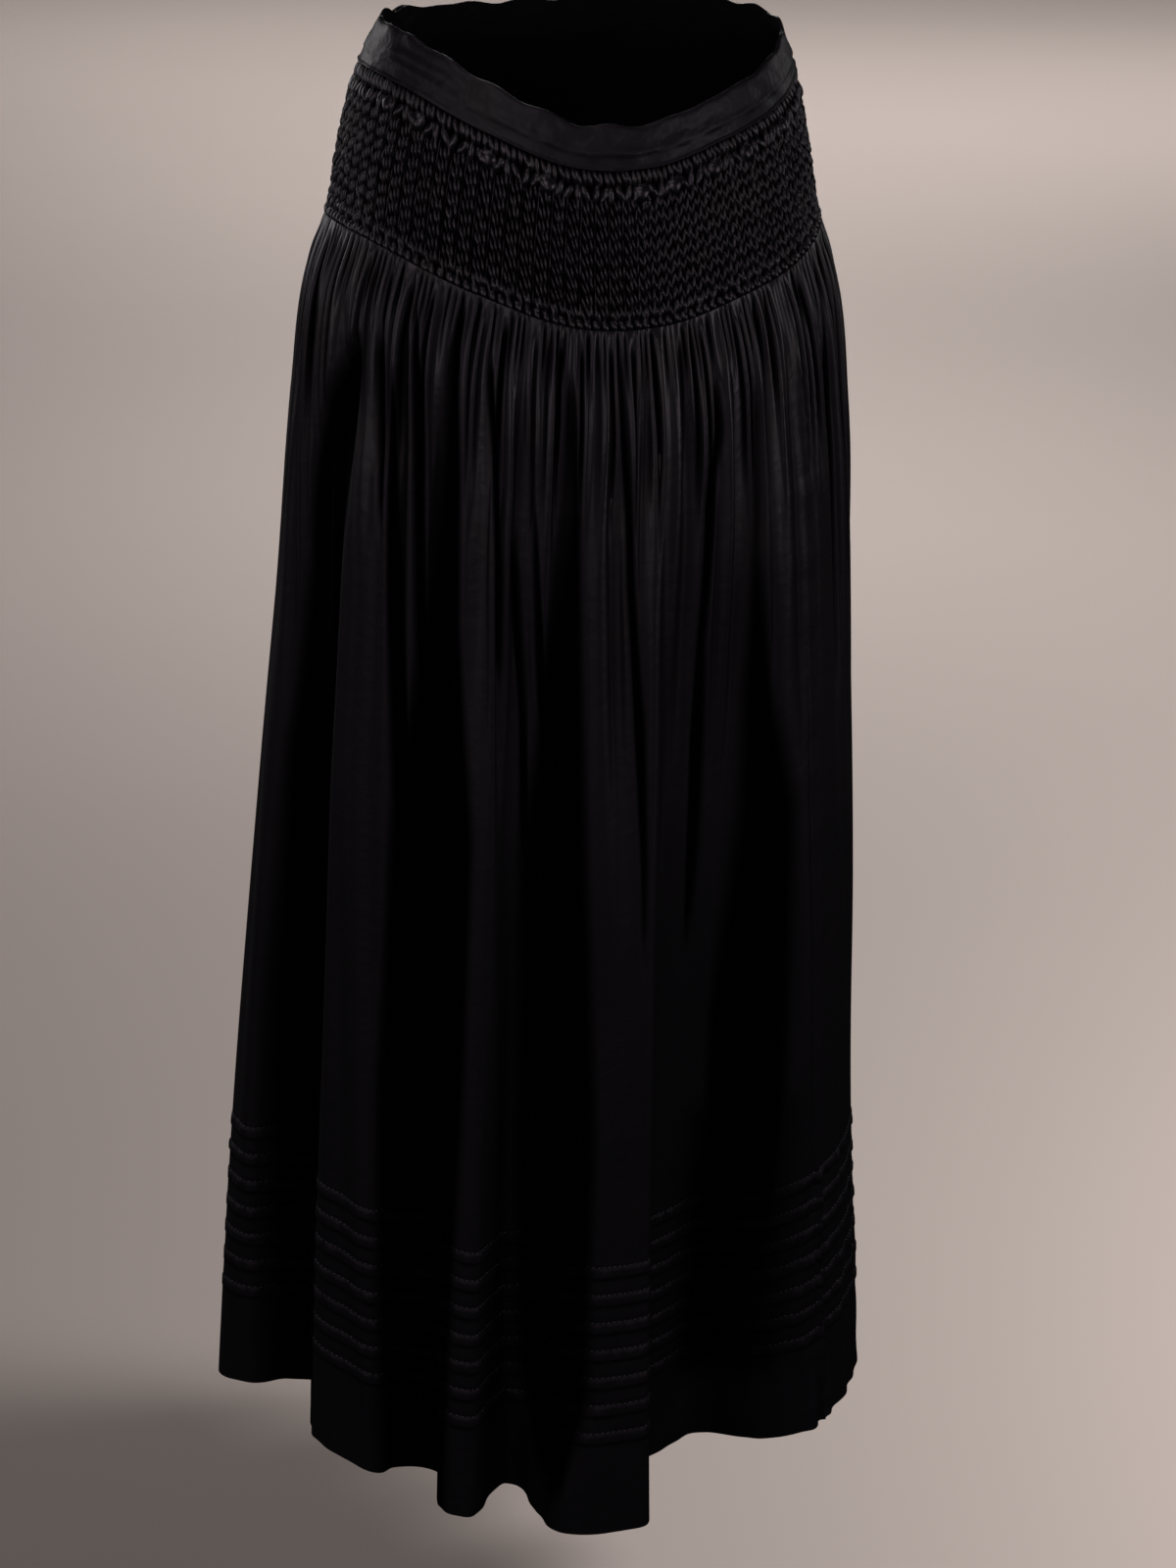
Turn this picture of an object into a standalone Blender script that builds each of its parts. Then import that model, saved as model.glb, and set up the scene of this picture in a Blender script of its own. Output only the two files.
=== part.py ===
# Smocked skirt: a waistband, a smocked top in two pieces and a gathered skirt in two
# panels with seven pin tucks above a plain hem, standing open as it is worn.
# Units are metres, +Z is up, the front faces -Y and the wearer's left is +X.
# The origin is the middle of the waist, level with the band's top edge at the sides.
#
# Angles are in degrees round the wearer, from 0 at the centre front through +90 at the
# wearer's left side. A drop is the distance down from the band's top edge.

import bpy
import bmesh
import numpy as np

# Depths down the garment
BAND_DEPTH = 0.028
SMOCKING_DEPTH = 0.102
HEM_DROP = 1.000
SEAM_GAP = 0.0003

# Cloth walls
BAND_WALL = 0.0024
SMOCKING_WALL = 0.0030
SKIRT_WALL = 0.0016
HEM_WALL = 0.0026

# Waistband
BAND_COLUMNS = 72
BAND_SWELL = 0.0006
BAND_PROFILE = ((0.0, 0.0), (0.25, BAND_SWELL), (0.72, BAND_SWELL), (1.0, 0.0))
BAND_LAP_COLUMNS = 2
BAND_LAP_RUN_UP = 10.0

# Smocking: honeycomb puffs in brick order, pinched into hollows between them
PUFF_COLUMNS = 160
PUFF_ROWS = 12
PUFF_HEIGHT = 0.0019
SMOCKING_INNER_COLUMNS = 80

# Gathers let out below the smocking
GATHERS = 160
GATHER_HEIGHT = 0.0017
GATHER_FADE = 0.15
GATHER_FADE_ROWS = 4
UPPER_COLUMNS = 160

# Pin tucks and hem
TUCKS = 7
TUCK_PITCH = 0.0213
TUCK_DEPTH = 0.0076
TUCK_HEIGHT = 0.0024
TUCK_LIP = 0.0009
FIRST_TUCK_DROP = 0.7930
HEM_TURNING_DROP = 0.9360
HEM_TURNING_STEP = 0.004

# Half sizes and middle of the garment's rings
RING_TABLE = (
    # drop, half width, half depth, middle x, middle y
    (0.000, 0.143, 0.100, 0.002, -0.001),
    (0.028, 0.155, 0.109, 0.001, 0.002),
    (0.080, 0.168, 0.123, 0.001, 0.007),
    (0.130, 0.177, 0.134, 0.002, 0.010),
    (0.165, 0.189, 0.146, 0.002, 0.012),
    (0.250, 0.200, 0.163, 0.002, 0.016),
    (0.400, 0.211, 0.179, 0.000, 0.022),
    (0.600, 0.224, 0.196, -0.005, 0.028),
    (0.800, 0.237, 0.210, -0.011, 0.033),
    (1.000, 0.251, 0.222, -0.013, 0.037),
)

# Height of the waistline above the origin, which dips at the front
WAISTLINE_TABLE = (
    # angle, rise
    (-180, 0.018),
    (-150, 0.021),
    (-117, 0.025),
    (-70, 0.016),
    (-44, -0.010),
    (-20, -0.034),
    (0, -0.036),
    (20, -0.024),
    (40, -0.012),
    (63, 0.004),
    (90, 0.014),
    (125, 0.019),
    (180, 0.018),
)

# Height of the hem above its drop: a middle value and two waves round the wearer,
# turned a little towards the right
HEM_RISE = 0.004
HEM_DIP = 0.018
HEM_DIP_TWICE = 0.014
HEM_TURN = 8.0
HEM_SHARE_START = 0.10
HEM_SHARE_REACH = 0.80

# Deep folds of the skirt, going round from the wearer's right side to the left and
# behind. Each crest lies between its left and right flank, and the valley after it
# sinks by the depth at the hem. Softness is the half width over which a flank turns.
FOLD_TABLE = (
    # left high, left hem, left softness, right high, right hem, right softness,
    # depth of the valley after it, drop where that starts, crest set in at the hem
    (-116, -114, 3.0, -98, -98, 3.0, 0.070, 0.22, 0.000),
    (-80, -84, 1.5, -57, -56, 3.5, 0.062, 0.18, 0.034),
    (-48, -47, 1.3, -36, -35, 1.3, 0.078, 0.20, 0.020),
    (-26, -25, 3.0, -4, -3, 1.4, 0.090, 0.20, 0.006),
    (13, 26, 3.0, 28, 33, 2.4, 0.008, 0.30, 0.024),
    (37, 43, 2.4, 66, 66, 3.5, 0.072, 0.22, 0.004),
    (84, 83, 3.5, 99, 98, 3.0, 0.072, 0.20, 0.004),
    (114, 113, 2.6, 126, 127, 3.6, 0.060, 0.24, 0.014),
    (148, 149, 3.6, 168, 167, 3.0, 0.080, 0.20, 0.000),
    (184, 182, 2.4, 194, 194, 3.4, 0.064, 0.24, 0.018),
    (213, 212, 3.4, 230, 230, 2.6, 0.070, 0.22, 0.006),
)
FOLD_HIGH_DROP = 0.30
CREST_SET_IN_START = 0.25
FOLD_GROWTH_EASE = 0.1
SEAM_CREST = 10
SEAM_VALLEY = 4

# Columns on a fold's flank lie this many softnesses either side of its middle, but
# never further than this share of the crest or valley beside it
TURN_REACH = 1.3
TURN_LIMIT = 0.35
COLUMNS_PER_FOLD = 8

# Soft creases that run down from the gathers and fade out
CREASE_TABLE = (
    # angle at the top, angle at the end, end drop, half width, depth
    (-128, -127, 0.46, 2.2, 0.004),
    (-106, -107, 0.52, 2.2, 0.005),
    (-90, -91, 0.40, 2.0, 0.003),
    (-67, -66, 0.36, 1.8, 0.004),
    (-59, -58, 0.44, 1.9, 0.005),
    (-50, -51, 0.60, 2.0, 0.006),
    (-41, -41, 0.50, 1.8, 0.005),
    (-32, -31, 0.56, 2.0, 0.006),
    (-24, -27, 0.60, 2.0, 0.006),
    (-15, -12, 0.64, 1.9, 0.005),
    (-7, -7, 0.36, 1.8, 0.004),
    (3, 2, 0.48, 2.0, 0.006),
    (15, 14, 0.56, 2.1, 0.006),
    (25, 25, 0.38, 1.8, 0.004),
    (46, 47, 0.54, 2.0, 0.005),
    (57, 56, 0.40, 1.8, 0.004),
    (72, 74, 0.58, 2.1, 0.006),
    (89, 91, 0.46, 1.9, 0.005),
    (105, 107, 0.60, 2.1, 0.006),
    (123, 124, 0.42, 1.8, 0.004),
    (139, 140, 0.56, 2.1, 0.006),
    (157, 156, 0.44, 1.9, 0.005),
    (172, 173, 0.60, 2.1, 0.006),
    (189, 188, 0.38, 1.8, 0.004),
    (205, 206, 0.54, 2.0, 0.005),
)

# A crease starts at the gathers, is deep between these shares of its length, and
# has gone where the deep folds take over
CREASE_START = 0.13
CREASE_SWELL = 0.3
CREASE_FULL = 0.45
CREASE_FADE_START = 0.30
CREASE_FADE = 0.15

# Drops of the rows of points: fine ones through the gathers, then ones whose columns
# lie on the deep folds
UPPER_ROWS = (0.168, 0.196, 0.232, 0.280, 0.335, 0.395)
LOWER_ROWS = (0.460, 0.540, 0.620, 0.700, 0.765)
GATHER_ROWS = (BAND_DEPTH + SMOCKING_DEPTH + SEAM_GAP, 0.148)
INNER_UPPER_ROWS = (GATHER_ROWS[0], 0.196, 0.280, 0.395)
INNER_LOWER_ROWS = (0.460, 0.620, 0.765)

# Angle either side of a point that gives the cloth's direction there, and the
# difference below which two values count as one
SMALL_TURN = 0.2
SHARP_ANGLE = 50.0
TINY = 1e-6

CLOTHS = {
    # piece: colour, roughness
    "waistband": ((0.0090, 0.0084, 0.0096), 0.50),
    "smocking": ((0.0100, 0.0094, 0.0108), 0.46),
    "skirt": ((0.0094, 0.0086, 0.0100), 0.42),
}


# Smooth step from 0 to 1 with flat ends
def ease(t):
    t = np.clip(t, 0.0, 1.0)
    return t * t * (3.0 - 2.0 * t)


# Smooth curve through a table's points, with the slope at each point
# taken from its two neighbours
def through(xs, ys, x):
    gap = np.diff(xs)
    rise = np.diff(ys) / gap
    slope = np.empty(len(xs))
    slope[0] = rise[0]
    slope[-1] = rise[-1]
    slope[1:-1] = (rise[:-1] * gap[1:] + rise[1:] * gap[:-1]) / (gap[:-1] + gap[1:])
    i = np.clip(np.searchsorted(xs, x, side="right") - 1, 0, len(xs) - 2)
    t = (x - xs[i]) / gap[i]
    start = (1.0 + 2.0 * t) * (1.0 - t) ** 2 * ys[i] + t * (1.0 - t) ** 2 * gap[i] * slope[i]
    end = t * t * (3.0 - 2.0 * t) * ys[i + 1] + t * t * (t - 1.0) * gap[i] * slope[i + 1]
    return start + end


def column(table, index):
    return np.array([row[index] for row in table], dtype=float)


# Height of a point: its drop below the waistline, whose dip turns into the
# lower dip of the hem further down
def height(angle, drop):
    around = (angle + 180.0) % 360.0 - 180.0
    waist = through(column(WAISTLINE_TABLE, 0), column(WAISTLINE_TABLE, 1), around)
    turned = np.radians(angle + HEM_TURN)
    hem = HEM_RISE - HEM_DIP * np.cos(turned) - HEM_DIP_TWICE * np.cos(2.0 * turned)
    share = ease((drop - HEM_SHARE_START) / HEM_SHARE_REACH)
    return waist * (1.0 - share) + hem * share - drop


# Angle of a fold's flank at this drop
def flank(row, side, drop):
    high, hem = (row[0], row[1]) if side == "left" else (row[3], row[4])
    share = np.clip((drop - FOLD_HIGH_DROP) / (HEM_DROP - FOLD_HIGH_DROP), 0.0, 1.0)
    return high + (hem - high) * share


# Share of a fold's full depth at this drop, growing steadily from its start
def growth(drop, start):
    t = np.clip((drop - start) / (HEM_DROP - start), 0.0, 1.0)
    return (1.0 + FOLD_GROWTH_EASE) * t * t / (t + FOLD_GROWTH_EASE)


# How far the folds and creases set the cloth in from the ring
def inset(angle, drop):
    total = np.zeros_like(angle)
    count = len(FOLD_TABLE)
    for i, row in enumerate(FOLD_TABLE):
        after = FOLD_TABLE[(i + 1) % count]
        left = flank(row, "left", drop)
        right = flank(row, "right", drop)
        after_left = flank(after, "left", drop) + (360.0 if i == count - 1 else 0.0)
        middle = 0.5 * (right + after_left)
        turn = (angle - middle + 180.0) % 360.0 - 180.0 + middle
        falls = 0.5 + 0.5 * np.tanh((turn - right) / row[5])
        rises = 0.5 - 0.5 * np.tanh((turn - after_left) / after[2])
        total = total + row[6] * growth(drop, row[7]) * falls * rises
        middle = 0.5 * (left + right)
        turn = (angle - middle + 180.0) % 360.0 - 180.0 + middle
        inside = 0.25 * (1.0 + np.tanh((turn - left) / row[2])) * (1.0 - np.tanh((turn - right) / row[5]))
        total = total + row[8] * growth(drop, CREST_SET_IN_START) * inside
    for top, end, end_drop, half_width, depth in CREASE_TABLE:
        share = np.clip((drop - CREASE_START) / (end_drop - CREASE_START), 0.0, 1.0)
        middle = top + (end - top) * share
        turn = (angle - middle + 180.0) % 360.0 - 180.0
        swell = ease(share / CREASE_SWELL) * (1.0 - ease((share - CREASE_FULL) / (1.0 - CREASE_FULL)))
        swell = swell * (1.0 - ease((drop - CREASE_FADE_START) / CREASE_FADE))
        total = total + depth * swell * np.exp(-((turn / half_width) ** 2))
    return total


# Points of the cloth at these angles and one drop, moved out along the ring's normal
def cloth(angle, drop, out=0.0):
    angle = np.asarray(angle, dtype=float)
    drops = column(RING_TABLE, 0)
    half_width, half_depth, middle_x, middle_y = (
        through(drops, column(RING_TABLE, k), drop) for k in (1, 2, 3, 4)
    )

    def plan(degrees):
        turned = np.radians(degrees)
        set_in = inset(degrees, drop)
        x = middle_x + (half_width - set_in) * np.sin(turned)
        y = middle_y - (half_depth - set_in) * np.cos(turned)
        return np.stack([x, y], axis=-1)

    here = plan(angle)
    along = plan(angle + SMALL_TURN) - plan(angle - SMALL_TURN)
    normal = np.stack([along[:, 1], -along[:, 0]], axis=-1)
    normal = normal / np.linalg.norm(normal, axis=1, keepdims=True)
    place = here + normal * np.reshape(out, (-1, 1)) * np.ones((len(angle), 1))
    return np.column_stack([place, height(angle, drop)])


# The angles of the deep folds' columns at this drop: each fold gives its flanks,
# their turns, its crest and the valley after it
def fold_columns(drop):
    angles = []
    count = len(FOLD_TABLE)
    for i, row in enumerate(FOLD_TABLE):
        after = FOLD_TABLE[(i + 1) % count]
        left = flank(row, "left", drop)
        right = flank(row, "right", drop)
        after_left = flank(after, "left", drop) + (360.0 if i == count - 1 else 0.0)
        crest = right - left
        valley = after_left - right
        angles.append(left)
        angles.append(left + min(TURN_REACH * row[2], TURN_LIMIT * crest))
        angles.append(left + 0.5 * crest)
        angles.append(right - min(TURN_REACH * row[5], TURN_LIMIT * crest))
        angles.append(right)
        angles.append(right + min(TURN_REACH * row[5], TURN_LIMIT * valley))
        angles.append(right + 0.5 * valley)
        angles.append(after_left - min(TURN_REACH * after[2], TURN_LIMIT * valley))
    return angles


# The two seams' angles at this drop: one on a crest behind the wearer's right hip,
# one in the shallow valley at the front of the left hip
def seam_angles(drop):
    angles = fold_columns(drop)
    crest = COLUMNS_PER_FOLD * SEAM_CREST + 2
    valley = COLUMNS_PER_FOLD * SEAM_VALLEY + 6
    return angles[crest] - 360.0, angles[valley]


# Angles of one panel's columns at this drop, seam to seam
def panel_columns(panel, drop, count=0):
    right_seam, left_seam = seam_angles(drop)
    start, end = (right_seam, left_seam) if panel == "front" else (left_seam, right_seam + 360.0)
    if count:
        return np.linspace(start, end, count // 2 + 1)
    everywhere = np.array(fold_columns(drop))
    everywhere = np.sort(np.concatenate([everywhere - 360.0, everywhere]))
    return everywhere[(everywhere > start - TINY) & (everywhere < end + TINY)]


# Each panel's sides stand half a seam gap in from the seam
def with_seam_gap(points):
    half = 0.5 * SEAM_GAP
    for end, inner in ((0, 1), (-1, -2)):
        toward = points[inner, :2] - points[end, :2]
        points[end, :2] += toward / np.linalg.norm(toward) * half
    return points


# Adds one row of points to the mesh and remembers how far along each lies
def add_row(mesh, points):
    share = np.linspace(0.0, 1.0, len(points))
    return [(s, mesh.verts.new(p)) for s, p in zip(share, points)]


# Fills the strip between two rows, which may have unlike numbers of points
def join_rows(mesh, upper, lower):
    i = 0
    j = 0
    while i < len(upper) - 1 or j < len(lower) - 1:
        next_upper = upper[i + 1][0] if i < len(upper) - 1 else 2.0
        next_lower = lower[j + 1][0] if j < len(lower) - 1 else 2.0
        if abs(next_upper - next_lower) < TINY:
            mesh.faces.new((upper[i][1], lower[j][1], lower[j + 1][1], upper[i + 1][1]))
            i += 1
            j += 1
        elif next_upper < next_lower:
            mesh.faces.new((upper[i][1], lower[j][1], upper[i + 1][1]))
            i += 1
        else:
            mesh.faces.new((upper[i][1], lower[j][1], lower[j + 1][1]))
            j += 1


# One side of a wall, with a share for each row so that the sides can be joined
def chain(rows, end):
    first = rows[0][end][1].co.z
    last = rows[-1][end][1].co.z
    return [((first - row[end][1].co.z) / (first - last), row[end][1]) for row in rows]


# A closed wall from rows of outer points and rows of inner points, top to bottom
def wall(name, outer, inner, cloth_name):
    mesh = bmesh.new()
    outer_rows = [add_row(mesh, points) for points in outer]
    inner_rows = [add_row(mesh, points) for points in inner]
    for rows in (outer_rows, inner_rows):
        for upper, lower in zip(rows, rows[1:]):
            join_rows(mesh, upper, lower)
    join_rows(mesh, outer_rows[0], inner_rows[0])
    join_rows(mesh, outer_rows[-1], inner_rows[-1])
    join_rows(mesh, chain(outer_rows, 0), chain(inner_rows, 0))
    join_rows(mesh, chain(outer_rows, -1), chain(inner_rows, -1))
    bmesh.ops.triangulate(mesh, faces=mesh.faces[:], quad_method="SHORT_EDGE")
    bmesh.ops.recalc_face_normals(mesh, faces=mesh.faces[:])
    data = bpy.data.meshes.new(name)
    mesh.to_mesh(data)
    mesh.free()
    data.shade_smooth()
    data.set_sharp_from_angle(angle=np.radians(SHARP_ANGLE))
    data.materials.append(make_cloth(cloth_name))
    piece = bpy.data.objects.new(name, data)
    parts.objects.link(piece)
    return piece


def make_cloth(name):
    colour, roughness = CLOTHS[name]
    material = bpy.data.materials.get(name + "_cloth") or bpy.data.materials.new(name + "_cloth")
    material.use_nodes = True
    shader = material.node_tree.nodes["Principled BSDF"]
    shader.inputs["Base Color"].default_value = (*colour, 1.0)
    shader.inputs["Roughness"].default_value = roughness
    shader.inputs["Metallic"].default_value = 0.0
    return material


# The band is one strip: it starts at the hidden seam, goes round the front and laps
# over its own start, so its last stretch rises clear of the first
def make_waistband():
    start = seam_angles(0.0)[0]
    step = 360.0 / BAND_COLUMNS
    angles = start + step * np.arange(BAND_COLUMNS + BAND_LAP_COLUMNS + 1)
    rise = ease((angles - start - 360.0 + step + BAND_LAP_RUN_UP) / BAND_LAP_RUN_UP)
    lifted = rise * (BAND_WALL + BAND_SWELL + SEAM_GAP)
    outer = [cloth(angles, share * BAND_DEPTH, lifted + swell) for share, swell in BAND_PROFILE]
    inner = [cloth(angles, drop, lifted - BAND_WALL) for drop in (0.0, BAND_DEPTH)]
    wall("waistband", outer, inner, "waistband")


# Honeycomb puffs stand out from the outer points in brick order over a plain inside
def make_smocked_top(panel):
    top = BAND_DEPTH + SEAM_GAP
    bottom = BAND_DEPTH + SMOCKING_DEPTH
    drops = np.linspace(top, bottom, PUFF_ROWS + 1)
    outer = []
    for row, drop in enumerate(drops):
        angles = panel_columns(panel, drop, PUFF_COLUMNS)
        puffed = (np.arange(len(angles)) + row) % 2
        depth = PUFF_HEIGHT * (1.0 - puffed)
        if row in (0, PUFF_ROWS):
            depth[:] = 0.5 * PUFF_HEIGHT
        depth[[0, -1]] = 0.5 * PUFF_HEIGHT
        outer.append(with_seam_gap(cloth(angles, drop, -depth)))
    inner = []
    for drop in (top, 0.5 * (top + bottom), bottom):
        angles = panel_columns(panel, drop, SMOCKING_INNER_COLUMNS)
        inner.append(with_seam_gap(cloth(angles, drop, -SMOCKING_WALL)))
    wall("smocked_top_" + panel, outer, inner, "smocking")


# Drop and outward step of each row of points through the tucks: the stitched line,
# the fold's edge below it and the lip just under that edge
def tuck_rows():
    rows = []
    for i in range(TUCKS):
        stitched = FIRST_TUCK_DROP + i * TUCK_PITCH
        rows.append((stitched, 0.0))
        rows.append((stitched + TUCK_DEPTH, TUCK_HEIGHT))
        rows.append((stitched + TUCK_DEPTH + TUCK_LIP, 0.0))
    return rows


# A panel hangs from fine gathers into deep folds. The gathers and tucks stand out
# from the outer points, and both faces follow the folds.
def make_skirt_panel(panel):
    outer = []
    for drop in GATHER_ROWS:
        angles = panel_columns(panel, drop, 2 * GATHERS)
        gathered = (np.arange(len(angles)) + 1) % 2
        outer.append(with_seam_gap(cloth(angles, drop, -GATHER_HEIGHT * gathered)))
    for row, drop in enumerate(UPPER_ROWS):
        angles = panel_columns(panel, drop, UPPER_COLUMNS)
        gathered = (np.arange(len(angles)) + 1) % 2
        fade = max(0.0, 1.0 - row / GATHER_FADE_ROWS)
        outer.append(with_seam_gap(cloth(angles, drop, -GATHER_HEIGHT * fade * gathered)))
    for drop in LOWER_ROWS:
        outer.append(with_seam_gap(cloth(panel_columns(panel, drop), drop)))
    for drop, out in tuck_rows():
        angles = panel_columns(panel, drop)
        raised = np.full(len(angles), out)
        raised[[0, -1]] = 0.0
        outer.append(with_seam_gap(cloth(angles, drop, raised)))
    outer.append(with_seam_gap(cloth(panel_columns(panel, HEM_DROP), HEM_DROP)))

    inner = []
    for drop in INNER_UPPER_ROWS:
        angles = panel_columns(panel, drop, UPPER_COLUMNS)
        fade = 1.0 - ease((drop - GATHER_ROWS[0]) / GATHER_FADE)
        inner.append(with_seam_gap(cloth(angles, drop, -SKIRT_WALL - GATHER_HEIGHT * fade)))
    for drop in INNER_LOWER_ROWS:
        inner.append(with_seam_gap(cloth(panel_columns(panel, drop), drop, -SKIRT_WALL)))
    for drop, thick in (
        (HEM_TURNING_DROP - HEM_TURNING_STEP, SKIRT_WALL),
        (HEM_TURNING_DROP, HEM_WALL),
        (HEM_DROP, HEM_WALL),
    ):
        inner.append(with_seam_gap(cloth(panel_columns(panel, drop), drop, -thick)))
    wall("skirt_" + panel, outer, inner, "skirt")


for old in list(bpy.data.objects):
    bpy.data.objects.remove(old, do_unlink=True)

parts = bpy.data.collections.new("smocked_skirt")
bpy.context.scene.collection.children.link(parts)

make_waistband()
for panel_name in ("front", "back"):
    make_smocked_top(panel_name)
    make_skirt_panel(panel_name)
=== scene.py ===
# A long black satin skirt as it hangs when worn: a plain waistband, a deep smocked top,
# a body gathered into loose folds, seven pin tucks and a plain hem.
# Everything is in metres. Angles are in degrees round the wearer, 0 at the centre front
# and growing towards the wearer's left. A drop is the way down from the band's top edge.

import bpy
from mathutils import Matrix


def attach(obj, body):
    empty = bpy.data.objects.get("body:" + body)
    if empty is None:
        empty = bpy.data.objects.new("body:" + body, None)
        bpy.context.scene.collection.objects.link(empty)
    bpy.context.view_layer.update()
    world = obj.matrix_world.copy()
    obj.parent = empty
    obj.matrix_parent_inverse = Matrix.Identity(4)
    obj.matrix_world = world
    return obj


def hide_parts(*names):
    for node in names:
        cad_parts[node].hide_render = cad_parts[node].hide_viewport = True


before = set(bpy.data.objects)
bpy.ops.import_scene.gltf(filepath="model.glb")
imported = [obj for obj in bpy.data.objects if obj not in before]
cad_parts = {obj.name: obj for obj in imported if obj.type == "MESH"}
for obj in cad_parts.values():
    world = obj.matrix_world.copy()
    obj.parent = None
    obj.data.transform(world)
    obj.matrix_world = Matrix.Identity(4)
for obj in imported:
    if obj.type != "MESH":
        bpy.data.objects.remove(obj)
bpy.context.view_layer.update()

import bpy
import numpy as np
from mathutils import Vector

mm = 0.001

garment = {
    "bandDepth": 0.028,
    "smockingDepth": 0.102,
    "hemDrop": 1.000,
    "firstTuck": 0.7930,
    "bodyEnd": 0.7905,  # where the finer tucked part takes over from the gathered one
}

# Half sizes and middle of the garment's rings
ringTable = np.array([
    # drop, half width, half depth, middle x, middle y
    (0.000, 0.143, 0.100, 0.002, -0.001),
    (0.028, 0.155, 0.109, 0.001, 0.002),
    (0.080, 0.168, 0.123, 0.001, 0.007),
    (0.130, 0.177, 0.134, 0.002, 0.010),
    (0.165, 0.189, 0.146, 0.002, 0.012),
    (0.250, 0.200, 0.163, 0.002, 0.016),
    (0.400, 0.211, 0.179, 0.000, 0.022),
    (0.600, 0.224, 0.196, -0.005, 0.028),
    (0.800, 0.237, 0.210, -0.011, 0.033),
    (1.000, 0.251, 0.222, -0.013, 0.037),
])

# The waistline dips at the front
waistlineTable = np.array([
    # angle, rise
    (-180, 0.018), (-150, 0.021), (-117, 0.025), (-70, 0.016), (-44, -0.010),
    (-20, -0.034), (0, -0.036), (20, -0.024), (40, -0.012), (63, 0.004),
    (90, 0.014), (125, 0.019), (180, 0.018),
], dtype=float)

hemLine = {"rise": 0.004, "dip": 0.018, "dipTwice": 0.014, "turn": 8.0, "start": 0.10, "reach": 0.80}

# Deep folds, from the wearer's right side round the front to the left and behind
foldTable = [
    # left high, left hem, softness, right high, right hem, softness,
    # depth of the valley after it, drop where that starts, crest set in at the hem
    (-116, -114, 3.0, -98, -98, 3.0, 0.070, 0.22, 0.000),
    (-80, -84, 1.5, -57, -56, 3.5, 0.062, 0.18, 0.034),
    (-48, -47, 1.3, -36, -35, 1.3, 0.078, 0.20, 0.020),
    (-26, -25, 3.0, -4, -3, 1.4, 0.090, 0.20, 0.006),
    (13, 26, 3.0, 28, 33, 2.4, 0.008, 0.30, 0.024),
    (37, 43, 2.4, 66, 66, 3.5, 0.072, 0.22, 0.004),
    (84, 83, 3.5, 99, 98, 3.0, 0.072, 0.20, 0.004),
    (114, 113, 2.6, 126, 127, 3.6, 0.060, 0.24, 0.014),
    (148, 149, 3.6, 168, 167, 3.0, 0.080, 0.20, 0.000),
    (184, 182, 2.4, 194, 194, 3.4, 0.064, 0.24, 0.018),
    (213, 212, 3.4, 230, 230, 2.6, 0.070, 0.22, 0.006),
]
foldRule = {"highDrop": 0.30, "setInStart": 0.25, "growthEase": 0.1, "seamCrest": 10, "seamValley": 4}

# Soft creases that run down from the gathers and fade out
creaseTable = [
    # angle at the top, angle at the end, end drop, half width, depth
    (-128, -127, 0.46, 2.2, 0.004),
    (-106, -107, 0.52, 2.2, 0.005),
    (-90, -91, 0.40, 2.0, 0.003),
    (-67, -66, 0.36, 1.8, 0.004),
    (-59, -58, 0.44, 1.9, 0.005),
    (-50, -51, 0.60, 2.0, 0.006),
    (-41, -41, 0.50, 1.8, 0.005),
    (-32, -31, 0.56, 2.0, 0.006),
    (-24, -27, 0.60, 2.0, 0.006),
    (-15, -12, 0.64, 1.9, 0.005),
    (-7, -7, 0.36, 1.8, 0.004),
    (3, 2, 0.48, 2.0, 0.006),
    (15, 14, 0.56, 2.1, 0.006),
    (25, 25, 0.38, 1.8, 0.004),
    (46, 47, 0.54, 2.0, 0.005),
    (57, 56, 0.40, 1.8, 0.004),
    (72, 74, 0.58, 2.1, 0.006),
    (89, 91, 0.46, 1.9, 0.005),
    (105, 107, 0.60, 2.1, 0.006),
    (123, 124, 0.42, 1.8, 0.004),
    (139, 140, 0.56, 2.1, 0.006),
    (157, 156, 0.44, 1.9, 0.005),
    (172, 173, 0.60, 2.1, 0.006),
    (189, 188, 0.38, 1.8, 0.004),
    (205, 206, 0.54, 2.0, 0.005),
]
creaseRule = {"start": 0.13, "swell": 0.3, "full": 0.45}

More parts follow.
